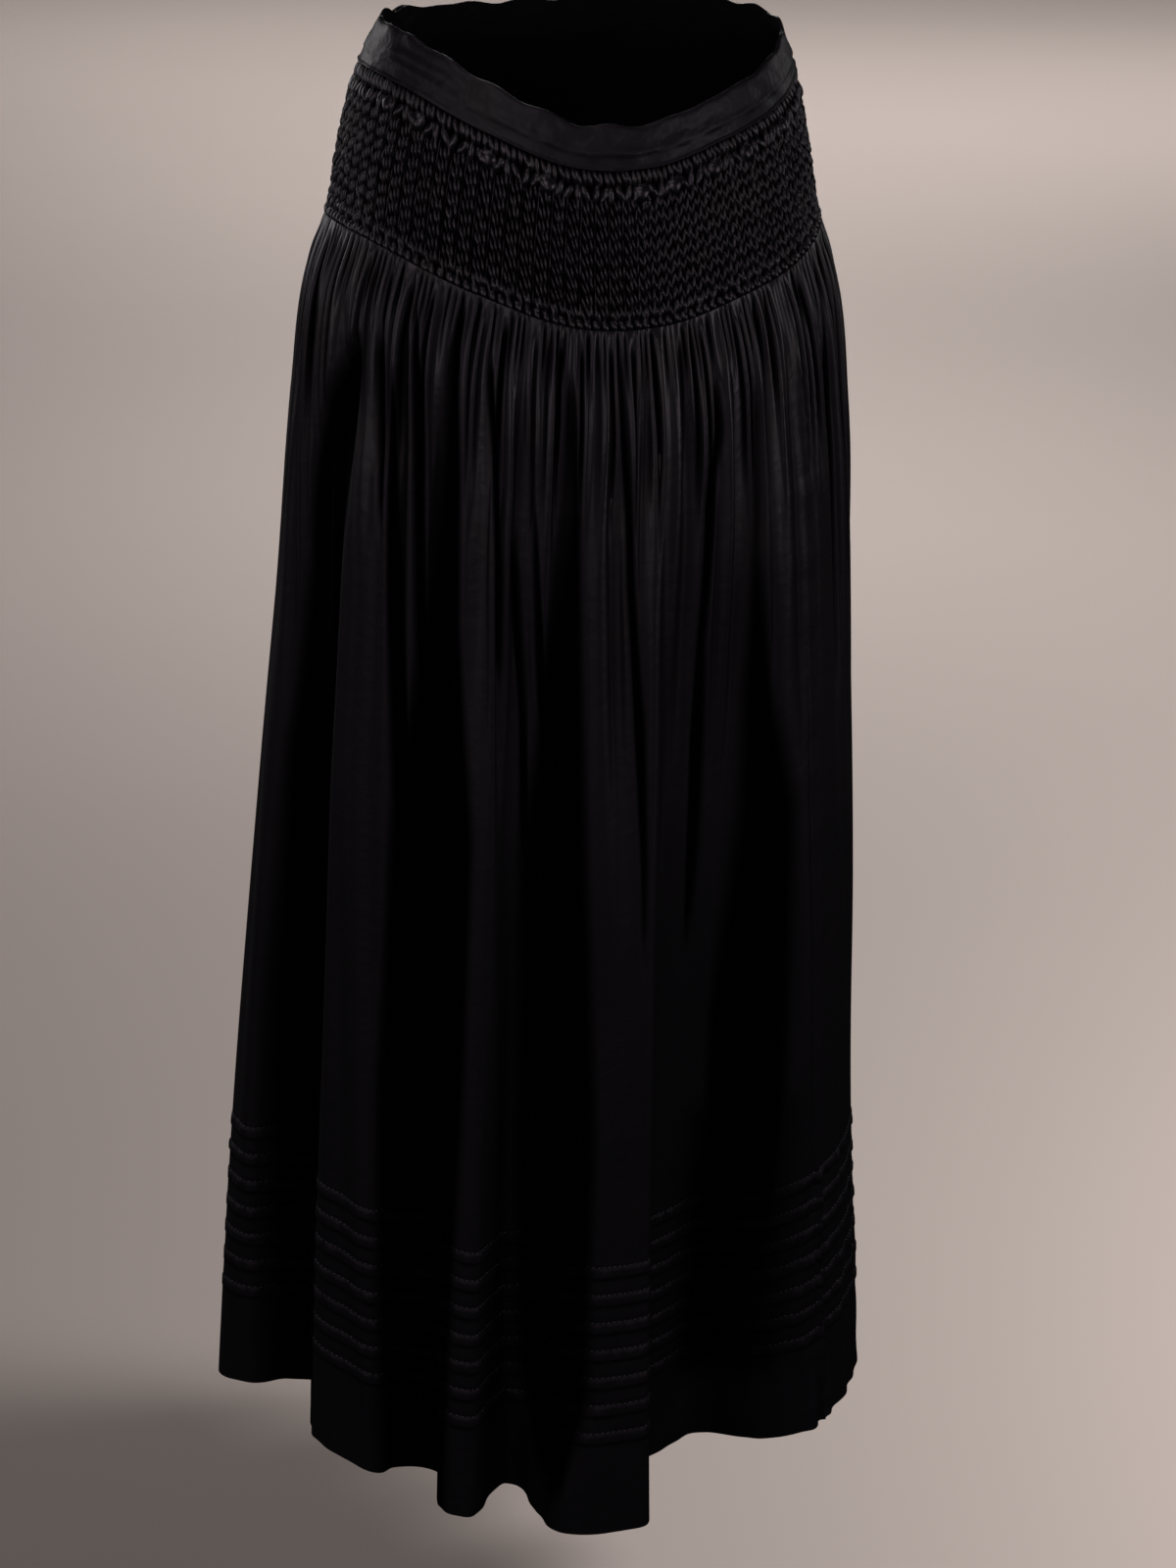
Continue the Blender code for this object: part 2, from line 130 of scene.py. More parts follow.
# Hollows: broad ones where a fold turns away, and narrow ones that run down from the gathers. They are set in
# a little and painted black as shade.
hollowTable = [
    # drops, angles of the left edge, angles of the right edge, softness, depth
    ((0.18, 0.25, 0.35, 0.50, 0.70, 1.00), (-71.5, -83, -91.5, -97.5, -98.8, -98),
     (-70, -71.6, -74, -76, -76.6, -78), 1.2, 7),
    ((0.15, 0.25, 0.35, 0.50, 0.70, 1.00), (-47.5, -50.4, -52, -58.4, -60, -57),
     (-46.5, -45.2, -44.6, -41, -41.2, -42.5), 1.0, 7),
    ((0.15, 0.25, 0.35, 0.50, 0.70, 0.90, 0.98), (-23, -24, -27, -31.6, -31.3, -30, -25),
     (-22, -21.1, -20.4, -19, -16.1, -16.5, -22), 1.3, 7),
    ((0.18, 0.30, 0.40, 0.50, 0.64, 0.74, 0.83), (19, 16.4, 15.5, 16.2, 15.2, 17.0, 20.0),
     (20.5, 18.2, 22.2, 28.7, 28.9, 28.8, 27.0), 1.5, 6),
    ((0.70, 0.80, 0.95), (14, 14, 15), (29, 29, 28), 6.0, 3),
    ((0.17, 0.20, 0.25, 0.31), (-66.7, -66.7, -65.7, -63.2), (-64.9, -63.9, -63.0, -62.8), 0.4, 4),
    ((0.19, 0.25, 0.35, 0.45, 0.52), (-61.8, -61.4, -60.7, -59.1, -58.0),
     (-61.0, -59.7, -57.8, -55.5, -54.5), 0.5, 4),
    ((0.14, 0.20, 0.30, 0.36, 0.42), (-58.4, -56.8, -55.3, -54.5, -53.5),
     (-57.8, -54.1, -53.0, -52.1, -52.0), 0.4, 4),
    ((0.15, 0.20, 0.30, 0.38), (-40.0, -39.5, -37.3, -36.2), (-39.4, -37.8, -35.8, -35.7), 0.4, 3),
    ((0.26, 0.30, 0.40, 0.50), (-34.2, -34.0, -32.4, -31.9), (-33.7, -32.7, -31.4, -30.0), 0.4, 3),
    ((0.25, 0.30, 0.36, 0.44), (-30.6, -30.3, -29.7, -28.0), (-30.1, -29.3, -27.3, -26.0), 0.4, 3),
    ((0.13, 0.20, 0.30, 0.40, 0.50, 0.56), (-11.8, -12.2, -11.9, -10.1, -8.4, -8.0),
     (-11.2, -10.9, -10.1, -7.8, -7.3, -7.6), 0.5, 4),
    ((0.16, 0.21, 0.25, 0.35, 0.42, 0.52, 0.58), (9.4, 8.0, 5.5, 4.7, 4.5, 5.7, 6.8),
     (10.0, 10.6, 8.3, 6.6, 7.8, 8.2, 7.4), 0.6, 4),
    ((0.14, 0.18, 0.23), (-4.7, -4.7, -4.4), (-4.2, -3.5, -4.0), 0.3, 3),
    ((0.13, 0.17, 0.21), (25.2, 25.2, 25.7), (25.7, 26.4, 26.1), 0.3, 3),
    ((0.13, 0.20, 0.30, 0.44), (49.0, 46.4, 45.4, 45.6), (49.5, 48.0, 47.4, 46.4), 0.5, 4),
    ((0.16, 0.24, 0.34, 0.40), (57.6, 56.8, 56.2, 56.8), (58.2, 58.2, 57.8, 57.4), 0.5, 3),
    ((0.18, 0.30, 0.50, 0.75, 1.00), (72, 71, 67, 65, 65), (73, 75, 80, 85, 85), 1.6, 6),
    ((0.15, 0.24, 0.36, 0.48), (88.0, 87.2, 89.0, 90.6), (88.6, 89.0, 91.0, 91.4), 0.5, 4),
    ((0.16, 0.30, 0.50, 0.75, 1.00), (105, 103, 99, 97, 97), (106, 107, 112, 116, 116), 1.3, 6),
    ((0.14, 0.22, 0.34, 0.42), (96.6, 95.8, 95.0, 95.2), (97.2, 97.4, 96.8, 95.8), 0.4, 3),
    ((0.15, 0.22, 0.30), (120.0, 119.6, 120.4), (120.6, 121.2, 121.0), 0.4, 3),
    ((0.18, 0.30, 0.50, 0.75, 1.00), (136, 134, 130, 126, 126), (137, 139, 146, 150, 151), 1.4, 6),
    ((0.15, 0.24, 0.38, 0.54), (128.0, 129.0, 129.4, 130.6), (128.6, 131.0, 131.8, 131.4), 0.5, 4),
    ((0.14, 0.22, 0.34, 0.46), (156.0, 155.2, 156.4, 157.6), (156.6, 157.0, 158.2, 158.2), 0.5, 4),
    ((0.16, 0.22, 0.28), (163.0, 162.8, 163.6), (163.6, 164.4, 164.2), 0.3, 3),
    ((0.16, 0.28, 0.50, 0.75, 1.00), (174, 172, 169, 166, 167), (175, 176, 181, 185, 185), 1.3, 7),
    ((0.15, 0.22, 0.32, 0.40), (181.0, 182.4, 182.0, 183.0), (181.6, 184.2, 183.6, 183.6), 0.4, 3),
    ((0.18, 0.30, 0.50, 0.75, 1.00), (201, 199, 196, 193, 194), (202, 203, 209, 213, 214), 1.5, 6),
    ((0.14, 0.24, 0.38, 0.50), (191.0, 190.0, 189.0, 188.6), (191.6, 192.0, 190.8, 189.2), 0.5, 4),
    ((0.15, 0.22, 0.34), (217.0, 216.2, 217.2), (217.6, 218.0, 217.8), 0.4, 3),
    ((0.14, 0.24, 0.36, 0.48), (224.0, 223.6, 224.4, 225.6), (224.6, 225.6, 226.4, 226.2), 0.5, 4),
    ((0.17, 0.30, 0.50, 0.75, 1.00), (236, 234, 231, 229, 229), (237, 238, 243, 246, 247), 1.4, 6),
    ((0.15, 0.24, 0.36, 0.44), (252.0, 251.2, 252.4, 253.4), (252.6, 253.4, 254.2, 254.0), 0.5, 4),
]
hollowRule = {
    "swell": 0.03,
    "fade": 0.05,
    "wall": 2.5 * mm,          # extra thickness there, which keeps the coarser inside under the face
    "shade": 1.25,             # how much sooner than its depth its painted shade is full
}


# Smooth step from 0 to 1 with flat ends
def ease(t):
    t = np.clip(t, 0.0, 1.0)
    return t * t * (3.0 - 2.0 * t)


# Smooth curve through a table's points, each slope taken from its two neighbours
def through(xs, ys, x):
    gap = np.diff(xs)
    rise = np.diff(ys) / gap
    slope = np.concatenate([
        rise[:1],
        (rise[:-1] * gap[1:] + rise[1:] * gap[:-1]) / (gap[:-1] + gap[1:]),
        rise[-1:],
    ])
    i = np.clip(np.searchsorted(xs, x, side="right") - 1, 0, len(xs) - 2)
    t = (x - xs[i]) / gap[i]
    start = (1.0 + 2.0 * t) * (1.0 - t) ** 2 * ys[i] + t * (1.0 - t) ** 2 * gap[i] * slope[i]
    end = t * t * (3.0 - 2.0 * t) * ys[i + 1] + t * t * (t - 1.0) * gap[i] * slope[i + 1]
    return start + end


# Uneven wave that closes on itself after a turn: a sum of six sines with whole numbers
# of waves between low and high, started anywhere
def ripple(turn, low, high, seed):
    draw = np.random.default_rng(seed)
    total = 0.0
    for count in draw.integers(low, high + 1, 6):
        total = total + np.sin(2.0 * np.pi * (count * turn + draw.random()))
    return total / 6.0 ** 0.5


# The same in two directions, with lengths along v between short and long
def dapple(turn, v, low, high, short, long, seed):
    draw = np.random.default_rng(seed)
    total = 0.0
    for count in draw.integers(low, high + 1, 7):
        lean = draw.choice([-1.0, 1.0]) / draw.uniform(short, long)
        total = total + np.sin(2.0 * np.pi * (count * turn + lean * v + draw.random()))
    return total / 7.0 ** 0.5


# A fixed number between 0 and 1 for each pair of whole numbers
def scatter(i, j):
    return np.abs(np.sin(i * 12.9898 + j * 78.233) * 43758.5453) % 1.0


# Height: the drop below the waistline, whose dip turns into the lower dip of the hem
def height(angle, drop):
    around = (angle + 180.0) % 360.0 - 180.0
    waist = through(waistlineTable[:, 0], waistlineTable[:, 1], around)
    turned = np.radians(angle + hemLine["turn"])
    hem = hemLine["rise"] - hemLine["dip"] * np.cos(turned) - hemLine["dipTwice"] * np.cos(2.0 * turned)
    share = ease((drop - hemLine["start"]) / hemLine["reach"])
    return waist * (1.0 - share) + hem * share - drop


# Angle of a fold's flank, which moves evenly from its high to its hem value
def flank(row, side, drop):
    high, hem = (row[0], row[1]) if side == "left" else (row[3], row[4])
    share = np.clip((drop - foldRule["highDrop"]) / (garment["hemDrop"] - foldRule["highDrop"]), 0.0, 1.0)
    return high + (hem - high) * share


# Share of a fold's full depth, growing steadily from its start
def growth(drop, start):
    t = np.clip((drop - start) / (garment["hemDrop"] - start), 0.0, 1.0)
    easeIn = foldRule["growthEase"]
    return (1.0 + easeIn) * t * t / (t + easeIn)


# The turn of an angle nearest to a middle
def nearest(angle, middle):
    return (angle - middle + 180.0) % 360.0 - 180.0 + middle


# How far folds and creases set the cloth in from the ring: each valley is the product
# of two smooth steps at its flanks, each crease a bell-shaped groove that swells and fades
def inset(angle, drop):
    total = 0.0
    for i, row in enumerate(foldTable):
        after = foldTable[(i + 1) % len(foldTable)]
        left = flank(row, "left", drop)
        right = flank(row, "right", drop)
        nextLeft = flank(after, "left", drop) + (360.0 if i == len(foldTable) - 1 else 0.0)
        turn = nearest(angle, 0.5 * (right + nextLeft))
        falls = 0.5 + 0.5 * np.tanh((turn - right) / row[5])
        rises = 0.5 - 0.5 * np.tanh((turn - nextLeft) / after[2])
        total = total + row[6] * growth(drop, row[7]) * falls * rises
        turn = nearest(angle, 0.5 * (left + right))
        inside = 0.25 * (1.0 + np.tanh((turn - left) / row[2])) * (1.0 - np.tanh((turn - right) / row[5]))
        total = total + row[8] * growth(drop, foldRule["setInStart"]) * inside
    for top, end, endDrop, halfWidth, depth in creaseTable:
        share = np.clip((drop - creaseRule["start"]) / (endDrop - creaseRule["start"]), 0.0, 1.0)
        turn = nearest(angle, top + (end - top) * share) - (top + (end - top) * share)
        swell = ease(share / creaseRule["swell"])
        swell = swell * (1.0 - ease((share - creaseRule["full"]) / (1.0 - creaseRule["full"])))
        total = total + depth * swell * np.exp(-((turn / halfWidth) ** 2))
    return total


# Share of a hollow at a point: smooth steps at its two edges, which run through the table's angles, and at
# its upper and lower end, unless that is the hem. With the depth, in metres, and the painted shade, which is
# full sooner than the share.
def hollows(angle, drop):
    deepest, shade = 0.0, 0.0
    for drops, lefts, rights, softness, depth in hollowTable:
        left = np.interp(drop, drops, lefts)
        right = np.interp(drop, drops, rights)
        turn = nearest(angle, 0.5 * (left + right))
        share = 0.25 * (1.0 + np.tanh((turn - left) / softness)) * (1.0 - np.tanh((turn - right) / softness))
        share = share * ease((drop - drops[0]) / hollowRule["swell"])
        if drops[-1] < garment["hemDrop"]:
            share = share * (1.0 - ease((drop - drops[-1] + 0.5 * hollowRule["fade"]) / hollowRule["fade"]))
        deepest = np.maximum(deepest, share * depth * mm)
        shade = np.maximum(shade, share)
    return deepest, np.clip(hollowRule["shade"] * shade, 0.0, 1.0)


# Place in plan: an ellipse's point, set in by the folds
def planAt(angle, drop):
    halfWidth, halfDepth, middleX, middleY = (
        through(ringTable[:, 0], ringTable[:, k], drop) for k in (1, 2, 3, 4)
    )
    turned = np.radians(angle)
    setIn = inset(angle, drop)
    return middleX + (halfWidth - setIn) * np.sin(turned), middleY - (halfDepth - setIn) * np.cos(turned)


# Points of the cloth, moved out along the plan's normal
def layCloth(angle, drop, out=0.0):
    smallTurn = 0.2
    x, y = planAt(angle, drop)
    aheadX, aheadY = planAt(angle + smallTurn, drop)
    behindX, behindY = planAt(angle - smallTurn, drop)
    normalX, normalY = aheadY - behindY, behindX - aheadX
    size = np.hypot(normalX, normalY)
    z = height(angle, drop)
    return np.stack(np.broadcast_arrays(x + out * normalX / size, y + out * normalY / size, z), axis=-1)


# The two seams: the middle of a crest behind the right hip, and of the shallow valley
# at the front of the left hip
def seamAngles(drop):
    crest = foldTable[foldRule["seamCrest"]]
    valley = foldTable[foldRule["seamValley"]]
    after = foldTable[foldRule["seamValley"] + 1]
    right = 0.5 * (flank(crest, "left", drop) + flank(crest, "right", drop)) - 360.0
    left = 0.5 * (flank(valley, "right", drop) + flank(after, "left", drop))
    return right, left


# Angles that share each row's cloth out evenly from seam to seam, and how far along
# each column lies, from the row's length measured on a fine line
def spreadColumns(panel, drops, count):
    right, left = seamAngles(drops)
    start, end = (right, left) if panel == "front" else (left, right + 360.0)
    fine = np.linspace(0.0, 1.0, 3001)
    angles = start[:, None] + (end - start)[:, None] * fine
    x, y = planAt(angles, drops[:, None])
    steps = np.hypot(np.diff(x, axis=1), np.diff(y, axis=1))
    along = np.concatenate([np.zeros((len(drops), 1)), np.cumsum(steps, axis=1)], axis=1)
    share = np.linspace(0.0, 1.0, count)
    rows = [np.interp(share * far[-1], far, line) for far, line in zip(along, angles)]
    return np.array(rows), along[:, -1:] * share


# Share of the way round for each column, the front panel's half first
def turnOf(panel, count):
    return np.linspace(0.0, 0.5, count) + (0.5 if panel == "back" else 0.0)


# Quads of a grid whose columns run to the left and whose rows run down
def gridFaces(rows, columns, first=0):
    i = (np.arange(rows - 1)[:, None] * columns + np.arange(columns - 1)).ravel() + first
    return np.stack([i, i + columns, i + columns + 1, i + 1], axis=1)


# Triangles between a fine line of points and a coarse one with a whole share of them:
# each fine span goes to the nearest coarse point, and each coarse span to the fine point between
def stripFaces(fine, coarse, flip):
    share = (len(fine) - 1) // (len(coarse) - 1)
    j = np.arange(len(fine) - 1)
    toCoarse = np.stack([fine[j], fine[j + 1], coarse[(2 * j + 1 + share) // (2 * share)]], axis=1)
    m = np.arange(len(coarse) - 1)
    toFine = np.stack([fine[m * share + share // 2], coarse[m + 1], coarse[m]], axis=1)
    faces = np.concatenate([toCoarse, toFine])
    return faces[:, ::-1] if flip else faces


# Cloth coordinates of a grid, in metres along the cloth and down it
def clothUv(along, down):
    return np.stack(np.broadcast_arrays(along, down), axis=-1)


# Puts points, faces, cloth coordinates, sharp borders and painted shade into one object
def makeMesh(name, points, faceSets, material, uv=None, border=None, paintedShade=None):
    mesh = bpy.data.meshes.new(name)
    mesh.vertices.add(len(points))
    mesh.vertices.foreach_set("co", np.asarray(points, np.float32).ravel())
    corners = np.concatenate([faces.ravel() for faces in faceSets]).astype(np.int32)
    sizes = np.concatenate([np.full(len(faces), faces.shape[1]) for faces in faceSets])
    starts = np.concatenate([[0], np.cumsum(sizes)[:-1]]).astype(np.int32)
    mesh.loops.add(len(corners))
    mesh.loops.foreach_set("vertex_index", corners)
    mesh.polygons.add(len(sizes))
    mesh.polygons.foreach_set("loop_start", starts)
    mesh.update(calc_edges=True)
    mesh.shade_smooth()
    if uv is not None:
        layer = mesh.uv_layers.new(name="cloth")
        layer.data.foreach_set("uv", uv[corners].astype(np.float32).ravel())
    if border is not None:
        ends = np.empty(2 * len(mesh.edges), np.int32)
        mesh.edges.foreach_get("vertices", ends)
        sharp = border[ends[0::2]] & border[ends[1::2]]
        mesh.attributes.new("sharp_edge", "BOOLEAN", "EDGE").data.foreach_set("value", sharp)
    if paintedShade is not None:
        mesh.attributes.new("paintedShade", "FLOAT", "POINT").data.foreach_set("value", paintedShade.astype(np.float32))
    mesh.validate()
    mesh.materials.append(material)
    piece = bpy.data.objects.new(name, mesh)
    bpy.context.scene.collection.objects.link(piece)
    return piece


# A closed sheet of cloth: a fine outer grid, a coarser inner one and a strip along each side
def makeShell(name, outer, inner, outerUv, innerUv, paintedShade, innerPaintedShade, material):
    rows, columns = outer.shape[:2]
    innerRows, innerColumns = inner.shape[:2]
    count = rows * columns
    outerAt = np.arange(count).reshape(rows, columns)
    innerAt = count + np.arange(innerRows * innerColumns).reshape(innerRows, innerColumns)
    border = np.zeros(count + innerAt.size, bool)
    for grid in (outerAt, innerAt):
        border[np.concatenate([grid[0], grid[-1], grid[:, 0], grid[:, -1]])] = True
    faceSets = [
        gridFaces(rows, columns),
        gridFaces(innerRows, innerColumns, count)[:, ::-1],
        stripFaces(outerAt[0], innerAt[0], False),
        stripFaces(outerAt[-1], innerAt[-1], True),
        stripFaces(outerAt[:, 0], innerAt[:, 0], True),
        stripFaces(outerAt[:, -1], innerAt[:, -1], False),
    ]
    points = np.concatenate([outer.reshape(-1, 3), inner.reshape(-1, 3)])
    uv = np.concatenate([outerUv.reshape(-1, 2), innerUv.reshape(-1, 2)])
    paintedShading = np.concatenate([
        np.broadcast_to(paintedShade, (rows, columns)).ravel(),
        np.broadcast_to(innerPaintedShade, (innerRows, innerColumns)).ravel(),
    ])
    return makeMesh(name, points, faceSets, material, uv, border, paintedShading)


# sRGB hex to linear colour
def toLinear(code):
    values = np.array([int(code[i:i + 2], 16) for i in (1, 3, 5)]) / 255.0
    linear = np.where(values <= 0.04045, values / 12.92, ((values + 0.055) / 1.055) ** 2.4)
    return (*linear.tolist(), 1.0)


# Adds a node with its settings, and its inputs from values or from other nodes' outputs
def addNode(tree, kind, inputs=None, **settings):
    node = tree.nodes.new(kind)
    for setting, value in settings.items():
        setattr(node, setting, value)
    for socket, value in (inputs or {}).items():
        if isinstance(value, bpy.types.NodeSocket):
            tree.links.new(value, node.inputs[socket])
        else:
            node.inputs[socket].default_value = value
    return node


# A new material with its node tree and its shader
def startMaterial(name):
    material = bpy.data.materials.new(name)
    material.use_nodes = True
    return material, material.node_tree, material.node_tree.nodes["Principled BSDF"]


# Feeds a shader's socket with its value in the open, which the cloth's painted shade turns into another one
# in gaps and hollows: there it paints the cloth black, dull and without reflections, as shade
def feedPaintedShade(tree, socket, inOpen, inPaintedShade, colour=False):
    first, second, result, kind = (6, 7, 2, "RGBA") if colour else (2, 3, 0, "FLOAT")
    paintedShade = addNode(tree, "ShaderNodeAttribute", attribute_name="paintedShade")
    mixed = addNode(tree, "ShaderNodeMix", {
        0: paintedShade.outputs["Fac"], first: inOpen, second: inPaintedShade,
    }, data_type=kind)
    tree.links.new(mixed.outputs[result], socket)


satinFinish = {
    "dark": "#131114",
    "light": "#1c191d",
    "roughness": (0.50, 0.62),
    "taut": 0.31,              # roughness at the gathers, where it is drawn tight
    "tautUntil": (0.13, 0.50), # drops where that begins to end and has ended
    "inPaintedShade": "#020202",       # colour, roughness and specular level of the painted black shade in gaps and hollows
    "dull": 0.9,
    "specularInPaintedShade": 0.02,
    "specular": 0.55,
    "loose": 0.30,             # specular level further down: a lower sheen there, painted shade
    "looseFrom": (0.28, 0.56), # drops where that begins and is reached
    "specularTints": ("#ebd6fa", "#ffece8"),
    "crumple": (9.0 * mm, 0.6 * mm),  # size and depth of the fine crumples in the face
    "floatWidth": 0.55 * mm,   # satin floats are about 0.15 mm apart, drawn coarser so that they show
    "floatLength": 5.0 * mm,
    "floatDepth": 0.05 * mm,
    "cloud": 45.0 * mm,        # size of the faint smudges that handling leaves
}


# Black satin, woven of fine filament with long floats on its face: a soft low sheen that spreads down the
# cloth, its specular level lowered further down as painted shade, faint streaks along the floats and faint
# clouds where it has been handled, and painted black shade, dull and without reflections, in gaps and
# hollows. Reads the cloth's own coordinates, in metres along and down it, and its painted shade.
def makeSatin(name, finish):
    material, tree, shader = startMaterial(name)
    cloth = addNode(tree, "ShaderNodeUVMap", uv_map="cloth")
    floats = addNode(tree, "ShaderNodeMapping", {
        "Vector": cloth.outputs["UV"],
        "Scale": (1.0 / finish["floatWidth"], 1.0 / finish["floatLength"], 1.0),
    })
    streaks = addNode(tree, "ShaderNodeTexNoise", {
        "Vector": floats.outputs["Vector"], "Scale": 1.0, "Detail": 2.0, "Roughness": 0.6,
    })
    clouds = addNode(tree, "ShaderNodeTexNoise", {
        "Vector": cloth.outputs["UV"], "Scale": 1.0 / finish["cloud"], "Detail": 3.0, "Roughness": 0.55,
    })
    mixed = addNode(tree, "ShaderNodeMix", {
        0: clouds.outputs["Fac"], 6: toLinear(finish["dark"]), 7: toLinear(finish["light"]),
    }, data_type="RGBA")
    inPaintedShade = toLinear(finish["inPaintedShade"])
    feedPaintedShade(tree, shader.inputs["Base Color"], mixed.outputs[2], inPaintedShade, colour=True)
    low, high = finish["roughness"]
    rough = addNode(tree, "ShaderNodeMapRange", {
        "Value": streaks.outputs["Fac"], "From Min": 0.3, "From Max": 0.7, "To Min": low, "To Max": high,
    })
    parts = addNode(tree, "ShaderNodeSeparateXYZ", {"Vector": cloth.outputs["UV"]})
    taut = addNode(tree, "ShaderNodeMapRange", {
        "Value": parts.outputs["Y"], "From Min": finish["tautUntil"][0], "From Max": finish["tautUntil"][1],
        "To Min": finish["taut"], "To Max": 0.5 * (low + high),
    })
    less = addNode(tree, "ShaderNodeMath", {
        0: rough.outputs["Result"], 1: taut.outputs["Result"],
    }, operation="MINIMUM")
    feedPaintedShade(tree, shader.inputs["Roughness"], less.outputs["Value"], finish["dull"])
    size, depth = finish["crumple"]
    crumples = addNode(tree, "ShaderNodeTexNoise", {
        "Vector": cloth.outputs["UV"], "Scale": 1.0 / size, "Detail": 2.0, "Roughness": 0.5,
    })
    crumpled = addNode(tree, "ShaderNodeBump", {
        "Height": crumples.outputs["Fac"], "Strength": 0.6, "Distance": depth,
    })
    bump = addNode(tree, "ShaderNodeBump", {
        "Height": streaks.outputs["Fac"], "Strength": 0.6, "Distance": finish["floatDepth"],
        "Normal": crumpled.outputs["Normal"],
    })
    tree.links.new(bump.outputs["Normal"], shader.inputs["Normal"])
    shader.inputs["IOR"].default_value = 1.5
    # Painted shade: the specular level falls from its full value near the gathers to a lower one further
    # down, which darkens the sheen lower on the skirt
    loose = addNode(tree, "ShaderNodeMapRange", {
        "Value": parts.outputs["Y"], "From Min": finish["looseFrom"][0], "From Max": finish["looseFrom"][1],
        "To Min": finish["specular"], "To Max": finish["loose"],
    })
    feedPaintedShade(tree, shader.inputs["Specular IOR Level"], loose.outputs["Result"], finish["specularInPaintedShade"])
    cool, warm = finish["specularTints"]
    tint = addNode(tree, "ShaderNodeMix", {
        0: clouds.outputs["Fac"], 6: toLinear(cool), 7: toLinear(warm),
    }, data_type="RGBA")
    tree.links.new(tint.outputs[2], shader.inputs["Specular Tint"])
    return material


# Polyester sewing thread, twisted and a little brighter than the cloth that it lies on.
# Reads Object coordinates for its fuzz, and the painted shade of the cloth beneath it, which paints it black
# in hollows.
def makeThread(name, finish):
    material, tree, shader = startMaterial(name)
    place = addNode(tree, "ShaderNodeTexCoord")
    fuzz = addNode(tree, "ShaderNodeTexNoise", {"Vector": place.outputs["Object"], "Scale": finish["fuzz"]})
    mixed = addNode(tree, "ShaderNodeMix", {
        0: fuzz.outputs["Fac"], 6: toLinear(finish["dark"]), 7: toLinear(finish["light"]),
    }, data_type="RGBA")
    inPaintedShade = toLinear(finish["inPaintedShade"])
    feedPaintedShade(tree, shader.inputs["Base Color"], mixed.outputs[2], inPaintedShade, colour=True)
    feedPaintedShade(tree, shader.inputs["Specular IOR Level"], finish["specular"], finish["specularInPaintedShade"])
    shader.inputs["Roughness"].default_value = finish["roughness"]
    return material


bodySatin = makeSatin("blackSatin", satinFinish)
smockedSatin = makeSatin("smockedSatin", {
    **satinFinish, "roughness": (0.28, 0.40), "specular": 0.8, "crumple": (2.4 * mm, 0.4 * mm),
})
bandSatin = makeSatin("pressedDoubleSatin", {
    **satinFinish, "roughness": (0.42, 0.54), "taut": 0.48, "specular": 0.42, "crumple": (9.0 * mm, 1.6 * mm),
})
thread = makeThread("blackSewingThread", {
    **satinFinish, "dark": "#5f5a62", "light": "#867f89", "roughness": 0.45, "fuzz": 1800.0,
})
print("materials made")


waistband = {
    "columns": 721,
    "innerColumns": 181,
    "wall": 2.2 * mm,
    "swell": 0.6 * mm,
    "lapDegrees": 10.0,
    "runUpDegrees": 5.0,
    "lapGap": 0.5 * mm,
    "edgeWave": 1.3 * mm,
    "dapple": 0.30 * mm,
    "creaseSwell": 0.3,        # share of a crease's length over which it swells, and fades again
    "meanRadius": 0.13,        # turns the way round into length for the cloth coordinates
    "shares": (0.0, 0.02, 0.05, 0.10, 0.16, 0.22, 0.28, 0.34, 0.40, 0.46, 0.52, 0.58, 0.64, 0.70, 0.76,
               0.82, 0.87, 0.90, 0.92, 0.94, 0.96, 0.975, 0.99, 1.0),
}

# The band's face: rolled edges, a pressed ridge and the edge stitching
bandFace = np.array([
    # share of the depth, height in swells
    (0.0, -1.2), (0.02, -0.1), (0.05, 0.5), (0.10, 0.9), (0.34, 0.6), (0.52, 0.8), (0.58, 1.8), (0.64, 1.9),
    (0.70, 0.6), (0.87, 0.1), (0.92, 0.2), (0.95, 1.5), (0.975, 2.0), (0.99, 1.2), (1.0, -0.2),
])

# Long soft creases that run lengthwise in the pressed band
bandCreases = [
    # start angle, end angle, share of the depth at the start, at the end, half width, height
    (-100, -28, 0.50, 0.22, 1.9 * mm, 0.75 * mm),
    (-86, -40, 0.26, 0.30, 1.8 * mm, -0.35 * mm),
    (-52, 6, 0.56, 0.50, 2.6 * mm, 0.4 * mm),
    (-18, 44, 0.62, 0.34, 2.2 * mm, 0.45 * mm),
    (-6, 60, 0.32, 0.60, 2.4 * mm, -0.35 * mm),
    (36, 92, 0.40, 0.52, 2.2 * mm, 0.5 * mm),
    (80, 150, 0.55, 0.36, 2.0 * mm, 0.8 * mm),
    (120, 190, 0.30, 0.56, 1.8 * mm, -0.6 * mm),
    (160, 226, 0.48, 0.30, 2.0 * mm, 0.9 * mm),
    (-136, -90, 0.36, 0.55, 1.8 * mm, 0.8 * mm),
]


